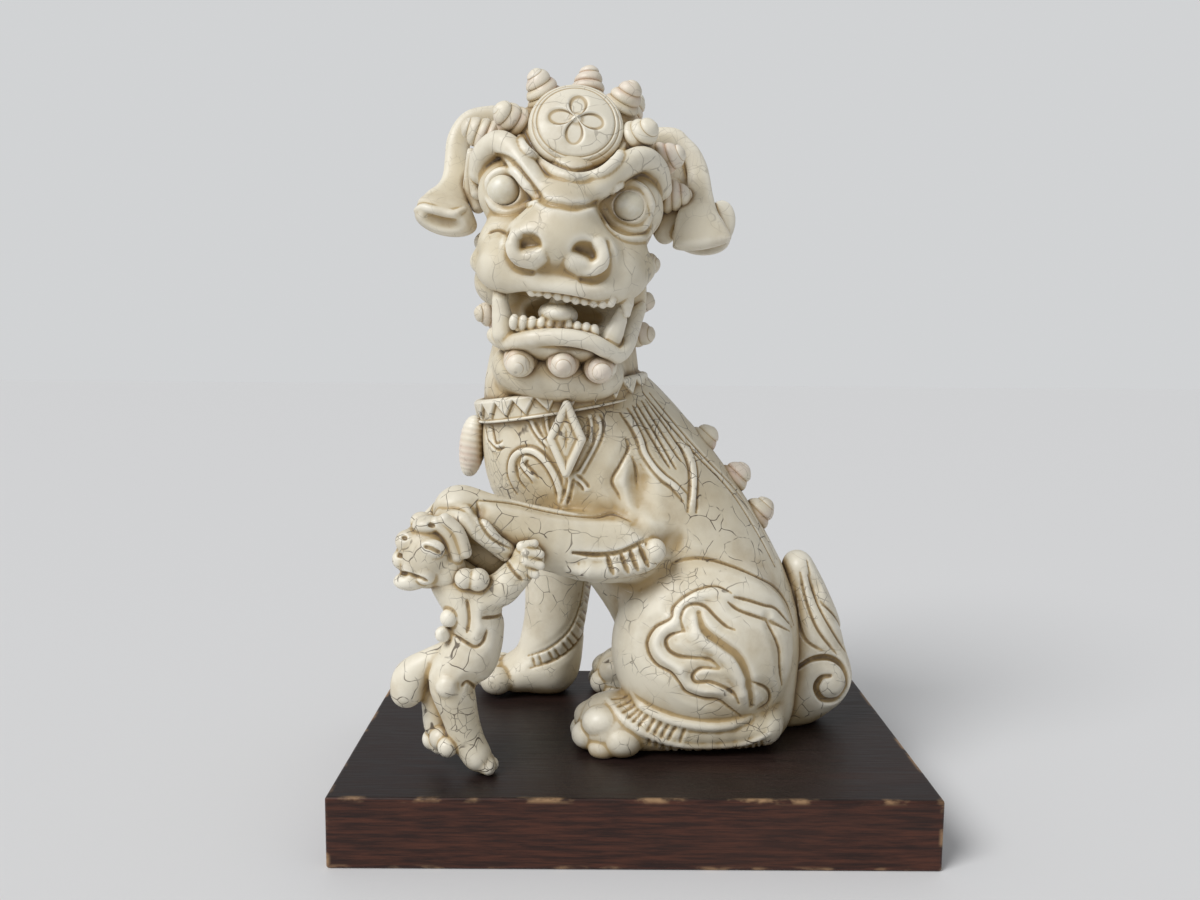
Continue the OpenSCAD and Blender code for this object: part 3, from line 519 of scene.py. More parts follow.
def crackled(name, pale, warm, tint=None):
    """Cast cream crazed in patches, with brown wash and painted shade in its hollows, grooves and creases,
    and painted highlight on exposed parts and convex edges.
    """
    paint = Paint(name)
    groove, hollow = paint.attribute("groove"), paint.attribute("hollow")
    fine, patchy = paint.noise(95.0, 5.0), paint.noise(44.0, 5.0, rough=0.62)
    ragged = paint.math("MULTIPLY", paint.math("SUBTRACT", fine, 0.5), 0.16)
    deep = paint.math("ADD", groove, ragged)
    wide = paint.math("ADD", hollow, ragged)
    bend = paint.math("ADD", paint.attribute("crease"), paint.math("MULTIPLY", ragged, 2.2))
    colour = paint.mix(paint.ramp(paint.noise(16.0, 4.0), 0.36, 0.66), pale, warm)
    if tint is not None:
        colour = paint.mix(paint.ramp(paint.noise(62.0, 2.0), 0.42, 0.62), colour, tint)
    # What a coat follows, the values where it starts and is full, its share and its tone
    # TAN is random tone; EXPOSED_HIGHLIGHT is painted highlight on exposed surfaces, away from grooves and
    # hollows
    for coat in ((fine, 0.5, 0.75, 0.35, TAN), (groove, 0.49, 0.40, 0.55, EXPOSED_HIGHLIGHT),
                 # GRIME is random dirt; HOLLOW_WASH_AND_SHADE is brown wash and painted shade in sheltered
                 # hollows
                 (patchy, 0.44, 0.68, 0.5, GRIME), (wide, 0.45, 0.64, 0.78, HOLLOW_WASH_AND_SHADE),
                 # Painted highlight and dry-brushed wear: EDGE_HIGHLIGHT_AND_WEAR lightens convex edges
                 (deep, 0.51, 0.66, 0.85, GROOVE_WASH_AND_SHADE), (bend, -0.22, -0.9, 0.5, EDGE_HIGHLIGHT_AND_WEAR),
                 # Brown wash and painted shade in creases: CREASE_WASH_AND_SHADE where the surface bends in
                 # gently, SHARP_CREASE_WASH_AND_SHADE where it bends in sharply
                 (bend, 0.03, 0.36, 0.75, CREASE_WASH_AND_SHADE), (bend, 0.45, 1.15, 0.75, SHARP_CREASE_WASH_AND_SHADE),
                 # Brown wash and painted shade in grooves: GROOVE_WASH_AND_SHADE, and
                 # DEEP_GROOVE_WASH_AND_SHADE at their bottoms
                 (deep, 0.62, 0.80, 0.85, DEEP_GROOVE_WASH_AND_SHADE)):
        colour = paint.coat(colour, *coat)

    warp = paint.node("ShaderNodeTexNoise", {"Vector": paint.where, "Scale": 70.0,
                                             "Detail": 2.0}).outputs["Color"]
    bent = paint.node("ShaderNodeVectorMath", {0: warp, 1: (0.009, 0.009, 0.009), 2: paint.where},
                      operation="MULTIPLY_ADD").outputs[0]

    def lines(scale, width):
        edge = paint.node("ShaderNodeTexVoronoi", {"Vector": bent, "Scale": scale},
                          feature="DISTANCE_TO_EDGE").outputs["Distance"]
        return paint.ramp(edge, width * 0.35, width, 1.0, 0.0)

    patch = paint.ramp(paint.noise(21.0, 3.0), 0.40, 0.55)
    broken = paint.ramp(paint.noise(150.0, 2.0), 0.40, 0.52)
    fine_patch = paint.ramp(paint.noise(33.0, 2.0), 0.50, 0.62)
    coarse = paint.math("MULTIPLY", lines(105.0, 0.021), paint.math("MULTIPLY", patch, broken))
    small = paint.math("MULTIPLY", lines(240.0, 0.032), paint.math("MULTIPLY", fine_patch, broken))
    crack = paint.math("MAXIMUM", coarse, paint.math("MULTIPLY", small, 0.75))
    crack = paint.math("MULTIPLY", crack, paint.attribute("crazed"), clamp=True)
    colour = paint.mix(paint.math("MULTIPLY", crack, 0.88), colour, CRACK)
    paint.set(base_color=colour, roughness=paint.ramp(fine, 0.3, 0.7, 0.36, 0.52))
    height = paint.math("SUBTRACT", paint.math("MULTIPLY", paint.noise(420.0, 3.0), 0.25), crack)
    paint.bump(height, strength=0.45, distance=0.0004)
    return paint.material


def pearl():
    paint = Paint("pearl_eye")
    cloud = paint.noise(190.0, 4.0)
    colour = paint.mix(paint.ramp(cloud, 0.35, 0.7), (0.72, 0.67, 0.53), (0.80, 0.77, 0.67))
    # Brown wash and painted shade where the eye sits sheltered under its lids
    colour = paint.coat(colour, paint.attribute("hollow"), 0.52, 0.74, 0.85, (0.40, 0.29, 0.13))
    paint.set(base_color=colour, roughness=paint.ramp(cloud, 0.3, 0.7, 0.3, 0.42))
    paint.bump(paint.noise(600.0), strength=0.15, distance=0.0003)
    return paint.material


FRONT_DARK, FRONT_RED, PORE = (0.022, 0.0072, 0.0048), (0.080, 0.025, 0.0135), (0.012, 0.006, 0.005)
TOP_DARK, TOP_LIGHT = (0.0105, 0.0065, 0.006), (0.026, 0.014, 0.012)
RED_PATCH, BARE_WOOD = (0.055, 0.024, 0.016), (0.36, 0.22, 0.115)


def stained_wood():
    """Dark stain, redder on the sides, and rubbed off in patches along the edges."""
    paint = Paint("stained_wood")
    grain = paint.noise(5.0, 6.0, paint.scaled((9.0, 120.0, 120.0)), 0.65)
    pores = paint.noise(1.0, 2.0, paint.scaled((45.0, 1500.0, 1500.0)))
    tone = paint.noise(9.0, 3.0, paint.scaled((0.6, 3.0, 3.0)))
    facing = paint.node("ShaderNodeNewGeometry").outputs["Normal"]
    up = paint.node("ShaderNodeSeparateXYZ", {0: facing}).outputs[2]
    side = paint.mix(paint.ramp(grain, 0.35, 0.68), FRONT_DARK, FRONT_RED)
    side = paint.coat(side, pores, 0.52, 0.7, 0.6, PORE)
    top = paint.mix(paint.ramp(grain, 0.3, 0.75), TOP_DARK, TOP_LIGHT)
    colour = paint.mix(paint.ramp(up, 0.6, 0.95), side, top)
    colour = paint.coat(colour, tone, 0.5, 0.75, 0.35, RED_PATCH)
    x, y, z = paint.node("ShaderNodeSeparateXYZ", {0: paint.where}).outputs
    dx = paint.math("SUBTRACT", BASE_HIGH.x, paint.math("ABSOLUTE", x))
    dy = paint.math("SUBTRACT", BASE_HIGH.y, paint.math("ABSOLUTE", y))
    dz = paint.math("MINIMUM", paint.math("SUBTRACT", BASE_HIGH.z, z), paint.math("SUBTRACT", z, BASE_LOW.z))
    from_edge = paint.math("MAXIMUM", paint.math("MINIMUM", dx, dy),
                           paint.math("MINIMUM", paint.math("MAXIMUM", dx, dy), dz))
    patchy = paint.noise(120.0, 5.0, paint.scaled((0.4, 0.6, 1.0)))
    near_edge = paint.ramp(from_edge, 0.0004, 0.0022, 1.0, 0.0)
    worn = paint.math("MULTIPLY", near_edge, paint.ramp(patchy, 0.50, 0.62))
    colour = paint.mix(paint.math("MULTIPLY", worn, 0.85), colour, BARE_WOOD)
    paint.set(base_color=colour, roughness=paint.ramp(grain, 0.3, 0.7, 0.34, 0.5), specular_ior_level=0.32)
    paint.bump(paint.math("ADD", grain, paint.math("MULTIPLY", pores, 0.6)), strength=0.22, distance=0.0004)
    return paint.material


def felted():
    paint = Paint("felt")
    fibre = paint.noise(900.0, 5.0)
    colour = paint.mix(paint.ramp(fibre, 0.3, 0.7), (0.035, 0.048, 0.034), (0.075, 0.095, 0.07))
    paint.set(base_color=colour, roughness=0.95, sheen_weight=0.3)
    paint.bump(fibre, strength=0.6, distance=0.0006)
    return paint.material


def bright_steel():
    paint = Paint("steel")
    brushed = paint.noise(4.0, 3.0, paint.scaled((300.0, 300.0, 3000.0)))
    colour = paint.mix(paint.ramp(brushed, 0.3, 0.7), (0.48, 0.48, 0.46), (0.60, 0.60, 0.58))
    paint.set(base_color=colour, metallic=1.0, roughness=paint.ramp(brushed, 0.3, 0.7, 0.25, 0.4))
    return paint.material


PALE, WARM = (0.755, 0.70, 0.57), (0.63, 0.55, 0.39)
TINTED_WARM, TINT = (0.66, 0.55, 0.36), (0.66, 0.50, 0.40)
cream = crackled("crackled_cream", PALE, WARM)
tinted = crackled("tinted_cream", PALE, TINTED_WARM, TINT)
pearly, wood, felt, steel = pearl(), stained_wood(), felted(), bright_steel()


# Sizes of the forms. A name with _PX holds pixels of the photograph, _Y depths, _R radii or half axes and
# _AT places. A form to loft is a list of stations, and a form to dab is a pixel, a depth and half axes.

# Body: torso, haunches and hind paws
NEAR_Y, FAR_Y, FAR_SHIFT = -21, 41, 7
TORSO = [[-29, LION_Y, 142, 32, 32], [-28, LION_Y, 132, 33, 33], [-19, LION_Y, 113, 42, 37],
         [3.9, LION_Y, 93.1, 38, 38], [23.1, LION_Y, 66.5, 37, 40], [35, LION_Y, 40, 37, 42],
         [42, LION_Y, 14, 29, 40]]
# Hind leg, from its own x and y: the haunch's x and z, the paw's stations without y, and toes with a radius
HAUNCH_AT, HAUNCH_R = (28, 41), (36, 21, 37)
HIND_PAW = [[52, 10, 9, 12.5], [30, 10.5, 11, 15], [8, 11, 12, 15.5], [-10, 10, 10.5, 15]]
HIND_TOES = [(-11.5, -8.5, 12.5, 7.0), (-4, -10.5, 6.5, 7.6), (-16.5, -6, 6.5, 6.2),
             (-11, -11, 3.5, 5.4), (-15, 2, 11, 6.8), (-12, 10, 8, 6.8), (-17.5, 4, 5, 6.0)]
HIND_TOE_SHAPE = np.array((1.15, 1, 0.95))
PAW_END, PAW_END_R = (-8, -1, 7.5), (12.5, 14.5, 8.5)

body = Clay(FIGURE, low=(-76, -48, -2), high=(88, 67, 152), cell=0.55)
body.loft(TORSO)


def hind_leg(clay, x, y):
    clay.egg((HAUNCH_AT[0] + x, y, HAUNCH_AT[1]), HAUNCH_R, k=5)
    clay.loft([[a + x, y, b, c, d] for a, b, c, d in HIND_PAW], k=3)
    clay.egg((PAW_END[0] + x, y + PAW_END[1], PAW_END[2]), PAW_END_R, k=3)
    for dx, dy, z, r in HIND_TOES:
        clay.egg((dx + x, y + dy, z), r * HIND_TOE_SHAPE, k=0.5)


hind_leg(body, 0, NEAR_Y)
hind_leg(body, FAR_SHIFT, FAR_Y)


def far_side(line):
    """The same line on the far side of the body."""
    return np.column_stack((line[:, 0], 2 * LION_Y - line[:, 1], line[:, 2]))


def far_haunch(line):
    """The same line on the far haunch, which sits further back."""
    return far_side(line) + (FAR_SHIFT, 0, 0)


RIBBON_PX = [(734, 598), (716, 591), (698, 595), (683, 604), (676, 617), (660, 633), (656, 645), (663, 658),
             (677, 669), (686, 684), (702, 691), (718, 691), (730, 698), (741, 714)]
RIBBON_OUT_PX = [(732, 593), (716, 586), (698, 589), (683, 597), (673, 607), (670, 618), (655, 627),
                 (647, 641), (649, 654), (657, 665), (671, 673), (679, 683), (686, 692), (702, 698),
                 (718, 700), (730, 708), (742, 717)]
RIBBON_IN_PX = [
    [(683, 630), (681, 617), (686, 607), (696, 604), (706, 607), (716, 617), (726, 626), (735, 630)],
    [(684, 631), (671, 635), (666, 641), (669, 650), (679, 656), (694, 658), (710, 660), (719, 668)],
    [(718, 669), (702, 668), (693, 675), (696, 682), (710, 682), (724, 687), (734, 694), (739, 704)]]
S_GROOVE_PX = [(699, 613), (705, 630), (724, 645), (738, 656), (747, 672), (751, 688), (752, 706)]
LEAF_PX = [(694, 618), (697, 634), (715, 650), (730, 662), (739, 678), (742, 694), (745, 708)]
TONGUES_PX = [[(728, 602), (739, 610), (758, 617), (770, 621), (790, 631)],
              [(734, 597), (748, 600), (764, 605), (777, 609), (792, 627)]]
FLAME_PX = [(766, 621), (773, 633), (779, 649), (780, 668), (782, 685)]
BORDER_PX = [(640, 590), (663, 568), (686, 559), (708, 559), (735, 567), (758, 577), (775, 587), (787, 603),
             (794, 625)]
LOOP_PX = [(753, 682), (766, 688), (770, 696), (767, 704), (758, 709)]
CUFF_PX = [(632, 694), (645, 708), (671, 720), (702, 726), (728, 725), (750, 718)]
CUFF_LOW_PX = [(607, 698), (625, 720), (649, 736), (679, 745), (718, 746), (750, 742), (769, 734)]

for line, r in ((RIBBON_PX, 4.0), (LEAF_PX, 4.2)):
    body.ridge(line, r, rise=1.3, k=1.5, twin=far_haunch)
body.seam(RIBBON_OUT_PX, *RIBBON_IN_PX, twin=far_haunch)
body.groove(S_GROOVE_PX, r=1.6, depth=1.5, k=1.6, twin=far_haunch)
body.seam(*TONGUES_PX, FLAME_PX, LOOP_PX, BORDER_PX, twin=far_haunch)
body.ridge(CUFF_PX, r=2.4, rise=1.5, twin=far_haunch)
body.ridge(CUFF_LOW_PX, r=1.6, rise=1.0, twin=far_haunch)

# Flutes between the cuff lines of a hind paw, and under the lower one
CUFF_FLUTES, SOLE_FLUTES = np.linspace(0.04, 0.5, 11), np.linspace(0.35, 0.92, 16)
sole = np.array(CUFF_LOW_PX)
body.flutes(CUFF_PX, CUFF_LOW_PX, CUFF_FLUTES, (0.25, 0.85), r=0.7, depth=0.7, twin=far_haunch)
body.flutes(sole + (0, 3), sole + (0.5, 9), SOLE_FLUTES, (0, 1), r=0.6, depth=0.5, steps=3, twin=far_haunch)

# Chest, saddle cloth and spine band
HOOK_PX = [(521, 491), (513, 479), (512, 463), (518, 453), (531, 451), (544, 460), (555, 477),
           (561, 495), (564, 504)]
HOOK_IN_PX = [(535, 480), (527, 471), (522, 464), (526, 456)]
STRAPS_PX = [[(597, 416), (601, 427), (597, 442), (589, 457), (581, 471), (575, 478)],
             [(590, 416), (592, 428), (590, 441)],
             [(575, 478), (582, 483), (586, 489)],
             [(570, 478), (568, 491), (564, 505)],
             [(531, 421), (538, 435), (549, 446)],
             [(546, 416), (548, 431), (553, 441)],
             [(489, 426), (493, 445), (503, 444)]]
SLEEVE_PX = [[(626, 439), (628, 449), (620, 465), (612, 481), (619, 496), (624, 512), (631, 522)],
             [(632, 456), (636, 470), (637, 491), (636, 521), (648, 534), (660, 543)]]
SADDLE_PX = [[(624, 411), (638, 432), (645, 453), (659, 473), (674, 485), (690, 503)],
             [(682, 441), (690, 456), (694, 472), (694, 492), (692, 512)]]
VALLEY_PX = [(640, 458), (640, 485), (644, 512), (654, 530), (670, 542), (690, 550)]
SADDLE_LINES_PX = [[(633, 406), (654, 442), (670, 468)], [(637, 404), (659, 439), (676, 469)],
                   [(642, 401), (665, 437), (681, 461)], [(646, 399), (672, 435), (683, 453)]]
SPINE_PX = [[(643, 392), (674, 429), (698, 456), (731, 491), (759, 535), (775, 566)],
            [(650, 393), (681, 430), (704, 456), (737, 491), (763, 531), (777, 559)]]

body.groove(VALLEY_PX, r=7.0, depth=2.4, k=2.5, twin=far_side)
body.band(HOOK_PX, half=5.0, rise=1.0, twin=far_side)
body.band(HOOK_IN_PX, half=4.0, rise=0.8, twin=far_side)
for line in STRAPS_PX:
    body.band(line, half=3.4, rise=0.7, twin=far_side)
body.seam(*SLEEVE_PX, twin=far_side)
for line in SADDLE_PX:
    body.band(line, half=4.4, rise=1.0, twin=far_side)
for line in SADDLE_LINES_PX:
    body.groove(line, r=0.7, depth=0.8, k=0.4, twin=far_side)
for line in SPINE_PX:
    body.groove(line, r=0.8, depth=0.9, k=0.5, twin=far_side)
body.below(0.0)
cast("body_casting", body)

# Standing foreleg
STANDING = [[-22, 34, 98, 15, 12], [-28, 41, 80, 17, 15], [-31, 43, 58, 15.6, 15], [-33, 43, 34, 14, 14.4],
            [-36, 43, 14, 15, 15]]
STANDING_PAW = [[-34, 43, 9, 9, 14], [-44, 43, 10, 10, 15], [-51, 43, 8.5, 8.5, 14.5]]
STANDING_TOES = [(-59, 32, 7.5, 6.2), (-62, 39.5, 8, 6.6), (-62, 47, 8, 6.6), (-59, 54, 7.5, 6.2)]
FORE_TOE_SHAPE = np.array((1.2, 1, 1))
TUFT_PX = [(584, 582), (581, 604), (570, 630), (550, 648), (527, 656)]
TUFT_LOW_PX = [(594, 588), (591, 614), (579, 641), (557, 659), (530, 668)]
TUFT_FLUTES = np.linspace(0.06, 0.95, 13)

standing = Clay(FIGURE, low=(-72, 18, -2), high=(-4, 68, 116), cell=0.6)
standing.loft(STANDING)
standing.loft(STANDING_PAW, k=4)
for x, y, z, r in STANDING_TOES:
    standing.egg((x, y, z), r * FORE_TOE_SHAPE, k=1.5)
standing.ridge(TUFT_PX, r=1.8, rise=0.8)
standing.seam(TUFT_PX, TUFT_LOW_PX)
standing.flutes(TUFT_PX, TUFT_LOW_PX, TUFT_FLUTES, (0.2, 0.9), r=0.7, depth=0.7, steps=3)
standing.below(0.0)
standing.weld(body, k=7)
cast("standing_foreleg", standing)

# Raised foreleg, with its fringe and a paw held over the cub
RAISED = [[-6, -10, 100, 14, 11], [2, -22, 84, 13.5, 13.5], [-14, -29, 81.5, 12.8, 12.5],
          [-36, -34, 87, 11.4, 11.2], [-54, -36, 93, 10, 10], [-66, -36, 97, 10, 10.6]]
NEAR_TOES_PX = [[(444, 517), (463, 521), (483, 537), (505, 555)],
                [(461, 511), (479, 524), (495, 541), (509, 550)]]
NEAR_TOE_Y = (-44, -50, -50, -46)
TOE_R = (3.6, 2.5)
FAR_TOES = [[(-74, -33, 97), (-79, -35, 92), (-79, -36, 87)],
            [(-72, -28, 98), (-77, -28, 93), (-78, -28, 88)]]
WRIST = ((457, 504), -40, (7.0, 6.5, 4.8))
WRIST_LINE_PX = [(477, 502), (481, 523), (491, 538), (509, 548)]
PALM_AT, PALM_R = (-57, -38, 80.5), (13, 7, 9)
FRINGE_TOP_PX = [(573, 553), (596, 555), (618, 553), (635, 546), (647, 539)]
FRINGE_LOW_PX = [(570, 570), (600, 571), (626, 569), (645, 564), (658, 556)]
FRINGE_FLUTES = np.linspace(0.4, 0.95, 5)
KNOB = ((655, 551), -35, (4.2, 4.4, 4.8))
ELBOW_PX = [(628, 516), (638, 523), (647, 531), (656, 536), (665, 541), (672, 547)]
ARM_TOP_PX = [(478, 500), (512, 503), (542, 510), (570, 515), (596, 517), (613, 514), (630, 521)]

raised = Clay(FIGURE, low=(-92, -62, 58), high=(24, 6, 122), cell=0.55)
raised.loft(RAISED)
raised.egg(PALM_AT, PALM_R, k=2)
raised.dab(*WRIST, k=1.5)
for toe in [spots(FIGURE, toe, NEAR_TOE_Y) for toe in NEAR_TOES_PX] + FAR_TOES:
    line = curve(toe)
    raised.rod(line, np.linspace(*TOE_R, len(line)), k=0.7)
raised.ridge(FRINGE_LOW_PX, r=4.0, rise=2.6, k=1.5)
raised.groove(FRINGE_TOP_PX, r=1.0, depth=1.3, k=0.5)
raised.flutes(FRINGE_TOP_PX, FRINGE_LOW_PX, FRINGE_FLUTES, (0.1, 1), r=1.0, depth=1.2, drop=(0, 5))
raised.weld(body, k=6)
raised.groove(ELBOW_PX, r=4.0, depth=1.5, k=2.5)
raised.dab(*KNOB, k=0.8)
raised.seam(ARM_TOP_PX, WRIST_LINE_PX)
cast("raised_foreleg", raised)

# Tail: a flame with a scroll on each side
TAIL = [[64, LION_Y, 8, 13, 16], [74, LION_Y, 18, 18, 18], [76, LION_Y, 36, 15.5, 15.5],
        [74, LION_Y, 54, 10.5, 11.5], [71.5, LION_Y, 67, 6.4, 8]]
SCROLL_AT, SCROLL_R = (81, LION_Y, 20), (14.5, 18.5, 14.5)
SCROLL_PX = [(797, 668), (812, 659), (830, 658), (843, 668), (847, 684), (838, 698), (823, 699), (816, 688),
             (821, 678), (830, 676)]
TAIL_LINES_PX = [[(807, 560), (817, 595), (837, 619), (849, 649), (853, 670)],
                 [(800, 572), (806, 600), (818, 630), (838, 655)],
                 [(808, 575), (818, 604), (832, 630), (846, 652)],
                 [(794, 585), (797, 615), (806, 640), (826, 652)]]

tail = Clay(FIGURE, low=(48, -14, -2), high=(102, 34, 82), cell=0.55)
tail.loft(TAIL)
tail.egg(SCROLL_AT, SCROLL_R, k=4)
tail.seam(*TAIL_LINES_PX, SCROLL_PX, twin=far_side)
tail.groove(SCROLL_PX, r=1.3, depth=1.5, k=1.0, twin=far_side)
tail.below(0.0)
cast("tail", tail)

# Cub, with its arms round the raised paw
CUB_LIMBS = {
    "trunk": [[-67, -47, 73, 8.5, 8.5], [-60, -47, 64, 10.5, 10], [-59, -47, 52, 10, 10.5],
              [-61, -47, 44, 10, 10]],
    "leg": [[-61, -47, 46, 9, 9], [-67, -50, 37, 8.6, 8.6], [-65, -49, 24, 6.6, 6.6],
            [-62, -48, 13, 5.8, 5.8], [-58, -48.5, 6, 5, 6]],
    "far_leg": [[-64, -41, 44, 7, 7], [-73, -40, 32, 6.5, 6.5], [-74, -41, 16, 5.5, 5.5]],
    "arm": [[-60, -49, 66, 7.5, 7], [-50, -50, 70, 6.2, 6.2], [-42, -48, 78, 5.4, 5.4]],
    "far_arm": [[-64, -43, 68, 6, 6], [-70, -38, 80, 5.5, 5.5], [-68, -39, 92, 5, 5]],
    "tail": [[-66, -45, 46, 5, 5], [-76, -45, 42, 4.5, 4.5], [-83, -45, 36, 6.5, 6], [-85, -45, 30, 6, 6]],
}
CUB_BALLS = [((-39.5, -47, 81.5), 6.0), ((-61.5, -56, 76), 3.8), ((-57, -55.5, 75.5), 4.2),
             ((-67.5, -54.5, 61), 3.4), ((-70, -53.5, 54.7), 3.0), ((-68, -56, 36.5), 4.6),
             ((-72, -46, 12.5), 4.6), ((-69, -51, 11), 3.8), ((-73, -43, 9), 4.0), ((-76, -41, 10), 4.2),
             ((-55, -50, 4), 3.4), ((-56, -45, 3.5), 3.2)]
CUB_LINES_PX = [[(453, 634), (465, 642), (475, 647), (483, 642), (487, 630)],
                [(483, 618), (499, 616), (508, 608)], [(467, 600), (469, 618), (467, 632)],
                [(506, 561), (514, 572), (522, 580)], [(462, 686), (468, 682), (478, 690)]]
CUB_FINGERS = [[(-41, -51, 78.5), (-36.5, -51.5, 76.5)], [(-40, -51.5, 81.5), (-34.6, -51.5, 79.8)],
               [(-40, -51, 84.5), (-34.8, -50.5, 83.8)], [(-41.5, -50, 86.5), (-37, -49.5, 87.6)]]
CUB_TOES = [[(-60, -50, 6), (-54, -51.5, 3)], [(-59, -47, 6), (-53, -47.5, 3)],
            [(-60, -44, 6), (-55, -43.5, 3)]]
CUB_TOE_R, CUB_FINGER_R = (3.0, 2.6), (2.1, 1.6)

cub = Clay(FIGURE, low=(-100, -68, -2), high=(-22, -26, 112), cell=0.55)
for limb in CUB_LIMBS.values():
    cub.loft(limb, k=2.5)
for at, r in CUB_BALLS:
    cub.egg(at, (r, r, r), k=0.8)
for toe in CUB_TOES:
    cub.rod(toe, CUB_TOE_R, k=0.8)
for finger in CUB_FINGERS:
    cub.rod(finger, CUB_FINGER_R, k=0.5)
cub.seam(*CUB_LINES_PX)
cub.below(0.0)
cast("cub_body", cub)

CUB_HEAD_AT, CUB_HEAD_R = (-76, -48, 83), (11.5, 11.5, 12.5)
CUB_FACE_PX = [((427.5, 525), -52, (5.5, 5, 3.6)), ((408, 541), -52, (4.6, 4.5, 4.2)),
               ((401, 559), -51, (3.2, 4, 3.6)), ((412.5, 567), -55, (3.2, 3.2, 4.8)),
               ((425.5, 575), -56.5, (3.4, 3, 3.6)), ((410, 581), -53, (6.0, 5, 3.4)),
               ((432, 549), -57.5, (4.6, 2.4, 3.4)), ((447, 570), -52, (7, 5, 7))]
CUB_LOCKS_PX = [[(437, 523), (449, 535), (457, 556)], [(445, 520), (458, 532), (465, 552)]]
CUB_LOCK_Y, CUB_LOCK_R = -54, 2.5
CUB_FACE_LINES_PX = [[(424, 546), (432, 549), (441, 554)], [(401, 573), (413, 576), (428, 582)],
                     [(403, 537), (405, 538)], [(430, 525), (433, 526)], [(398, 555), (401, 556)]]
CUB_HEAD_BACK = [((-70, -44, 95), (5, 5, 4)), ((-79, -44, 94.5), (4.2, 4.2, 3.6)),
                 ((-67, -42, 90), (4.5, 4.5, 5)), ((-72, -38, 86), (3.5, 3, 5))]

cub_head = Clay(FIGURE, low=(-100, -70, 62), high=(-56, -30, 110), cell=0.5)
cub_head.egg(CUB_HEAD_AT, CUB_HEAD_R, k=2)
for at, radii in CUB_HEAD_BACK:
    cub_head.egg(at, radii, k=1.0)
for pixel, y, radii in CUB_FACE_PX:
    cub_head.dab(pixel, y, radii, k=1.0)
for lock in CUB_LOCKS_PX:
    cub_head.rod(curve(spots(FIGURE, lock, CUB_LOCK_Y)), CUB_LOCK_R, k=0.8)
for line in CUB_FACE_LINES_PX:
    cub_head.groove(line, r=0.9, depth=1.1, k=0.5)
cast("cub_head", cub_head)

# Head
SKULL_AT, SKULL_R = np.array((0, 2, 5.0)), np.array((35, 33, 39.0))
NECK = [[-27, LION_Y - 1, 194, 26, 26], [-28, LION_Y, 160, 29, 29], [-29, LION_Y, 143, 32, 32]]
THROAT = ((3, -13, -66), (26, 19, 14))
MUZZLE = ((0, -22, -22), (32, 22, 15))
JOWL, JOWL_R = [(22, -21, -18), (24, -9, -34)], (9, 10)
CHEEK_AT, CHEEK_R = (23, -17, -1), (12.5, 12, 12.5)
BRIDGE, BRIDGE_R = [(-0.5, -27, 4), (-1, -35, -10)], (9, 13)
EYES_PX, EYE_Y, EYE_R = [(504.5, 190.5), (628.8, 206.4)], -23.5, (6.9, 6.9, 6.3)
SOCKET_Y, SOCKET_R = EYE_Y - 4, (5.6, 8, 5.2)
BROW_R, TEMPLE_R, LIP_R = 4.7, 3.0, 3.2
BROW_PX = [(481, 172), (484, 155), (498, 143), (513, 151), (526, 170), (541, 188), (561, 194),
           (581, 194), (600, 186), (620, 169), (642, 159), (656, 170), (660, 188)]
BROW_Y = [-13, -17, -22, -27, -31, -33.5, -35, -35, -33.5, -30, -24, -17, -12]
BROW_UNDER_PX = [(497, 155), (511, 162), (528, 182), (542, 200), (561, 205), (577, 207), (597, 203)]
DISC_BAND_PX = [(519, 136), (527, 151), (545, 166), (562, 175), (582, 178), (602, 172), (617, 159),
                (625, 142)]
DISC_EDGE_PX = [(525, 133), (533, 147), (549, 160), (566, 168), (583, 170), (600, 164), (612, 152),
                (619, 138)]
UPPER_LIDS_PX = [[(486, 192), (489, 179), (499, 171), (513, 172), (525, 184), (538, 198)],
                 [(611, 196), (618, 187), (630, 183), (643, 188), (651, 202), (652, 216)]]
LOWER_LIDS_PX = [[(486, 198), (495, 208), (507, 212), (523, 208), (538, 200)],
                 [(604, 208), (613, 222), (630, 230), (643, 228), (651, 217)],
                 [(598, 211), (609, 230), (627, 239), (645, 237), (655, 225)]]
TEMPLE_PX = [[(471, 156), (470, 175), (472, 191), (478, 206)], [(477, 158), (476, 175), (478, 192)]]
TEMPLE_Y = (-2, -8)
# Nose, its two wings, the two pads and the middle of the lip: pixel, depth, half axes and blend
NOSE_FORMS = [((558, 240), -37, (17.5, 13, 12), 4), ((525, 250), -38.5, (9, 8.5, 9), 4),
              ((594, 258), -38.5, (9, 8.5, 9), 4), ((505, 266), -29, (10, 12, 9.5), 3),
              ((616, 276), -29, (10, 12, 9.5), 3), ((558, 279), -33, (25, 8.5, 8.5), 5)]
WINGS_PX = [[(516, 236), (510, 245), (513, 256), (522, 264), (533, 264), (540, 258), (538, 252)],
            [(600, 242), (606, 252), (604, 264), (593, 272), (581, 271), (572, 265), (572, 258)]]
WING_SIDES_PX = [[(508, 232), (503, 245), (506, 259), (517, 270), (531, 273)],
                 [(609, 242), (613, 256), (610, 270), (597, 280), (582, 280)]]
NOSTRILS_PX, NOSTRIL_Y, NOSTRIL_R = [(526, 244), (587, 252)], -49, (5.6, 5.4, 4.6)
SCROLL_ENDS_PX, SCROLL_END_Y, SCROLL_END_R = [(532.5, 257), (578, 262)], -44, (4.0, 3.6, 2.8)
CHEEK_FOLD_PX = [(488, 233), (498, 230), (507, 234)]
LIP_PX = [(479, 262), (491, 273), (508, 279), (529, 282), (547, 285), (565, 288), (584, 291), (602, 292),
          (618, 290), (634, 283), (646, 270)]
LIP_Y = [-19, -28, -35, -39, -41, -42, -41.5, -40, -36, -30, -19]
TEETH_PX = [(532, 290), (539, 290), (548, 292), (558, 294), (567, 296), (576, 298), (585, 299),
            (594, 301), (603, 302), (611, 301)]
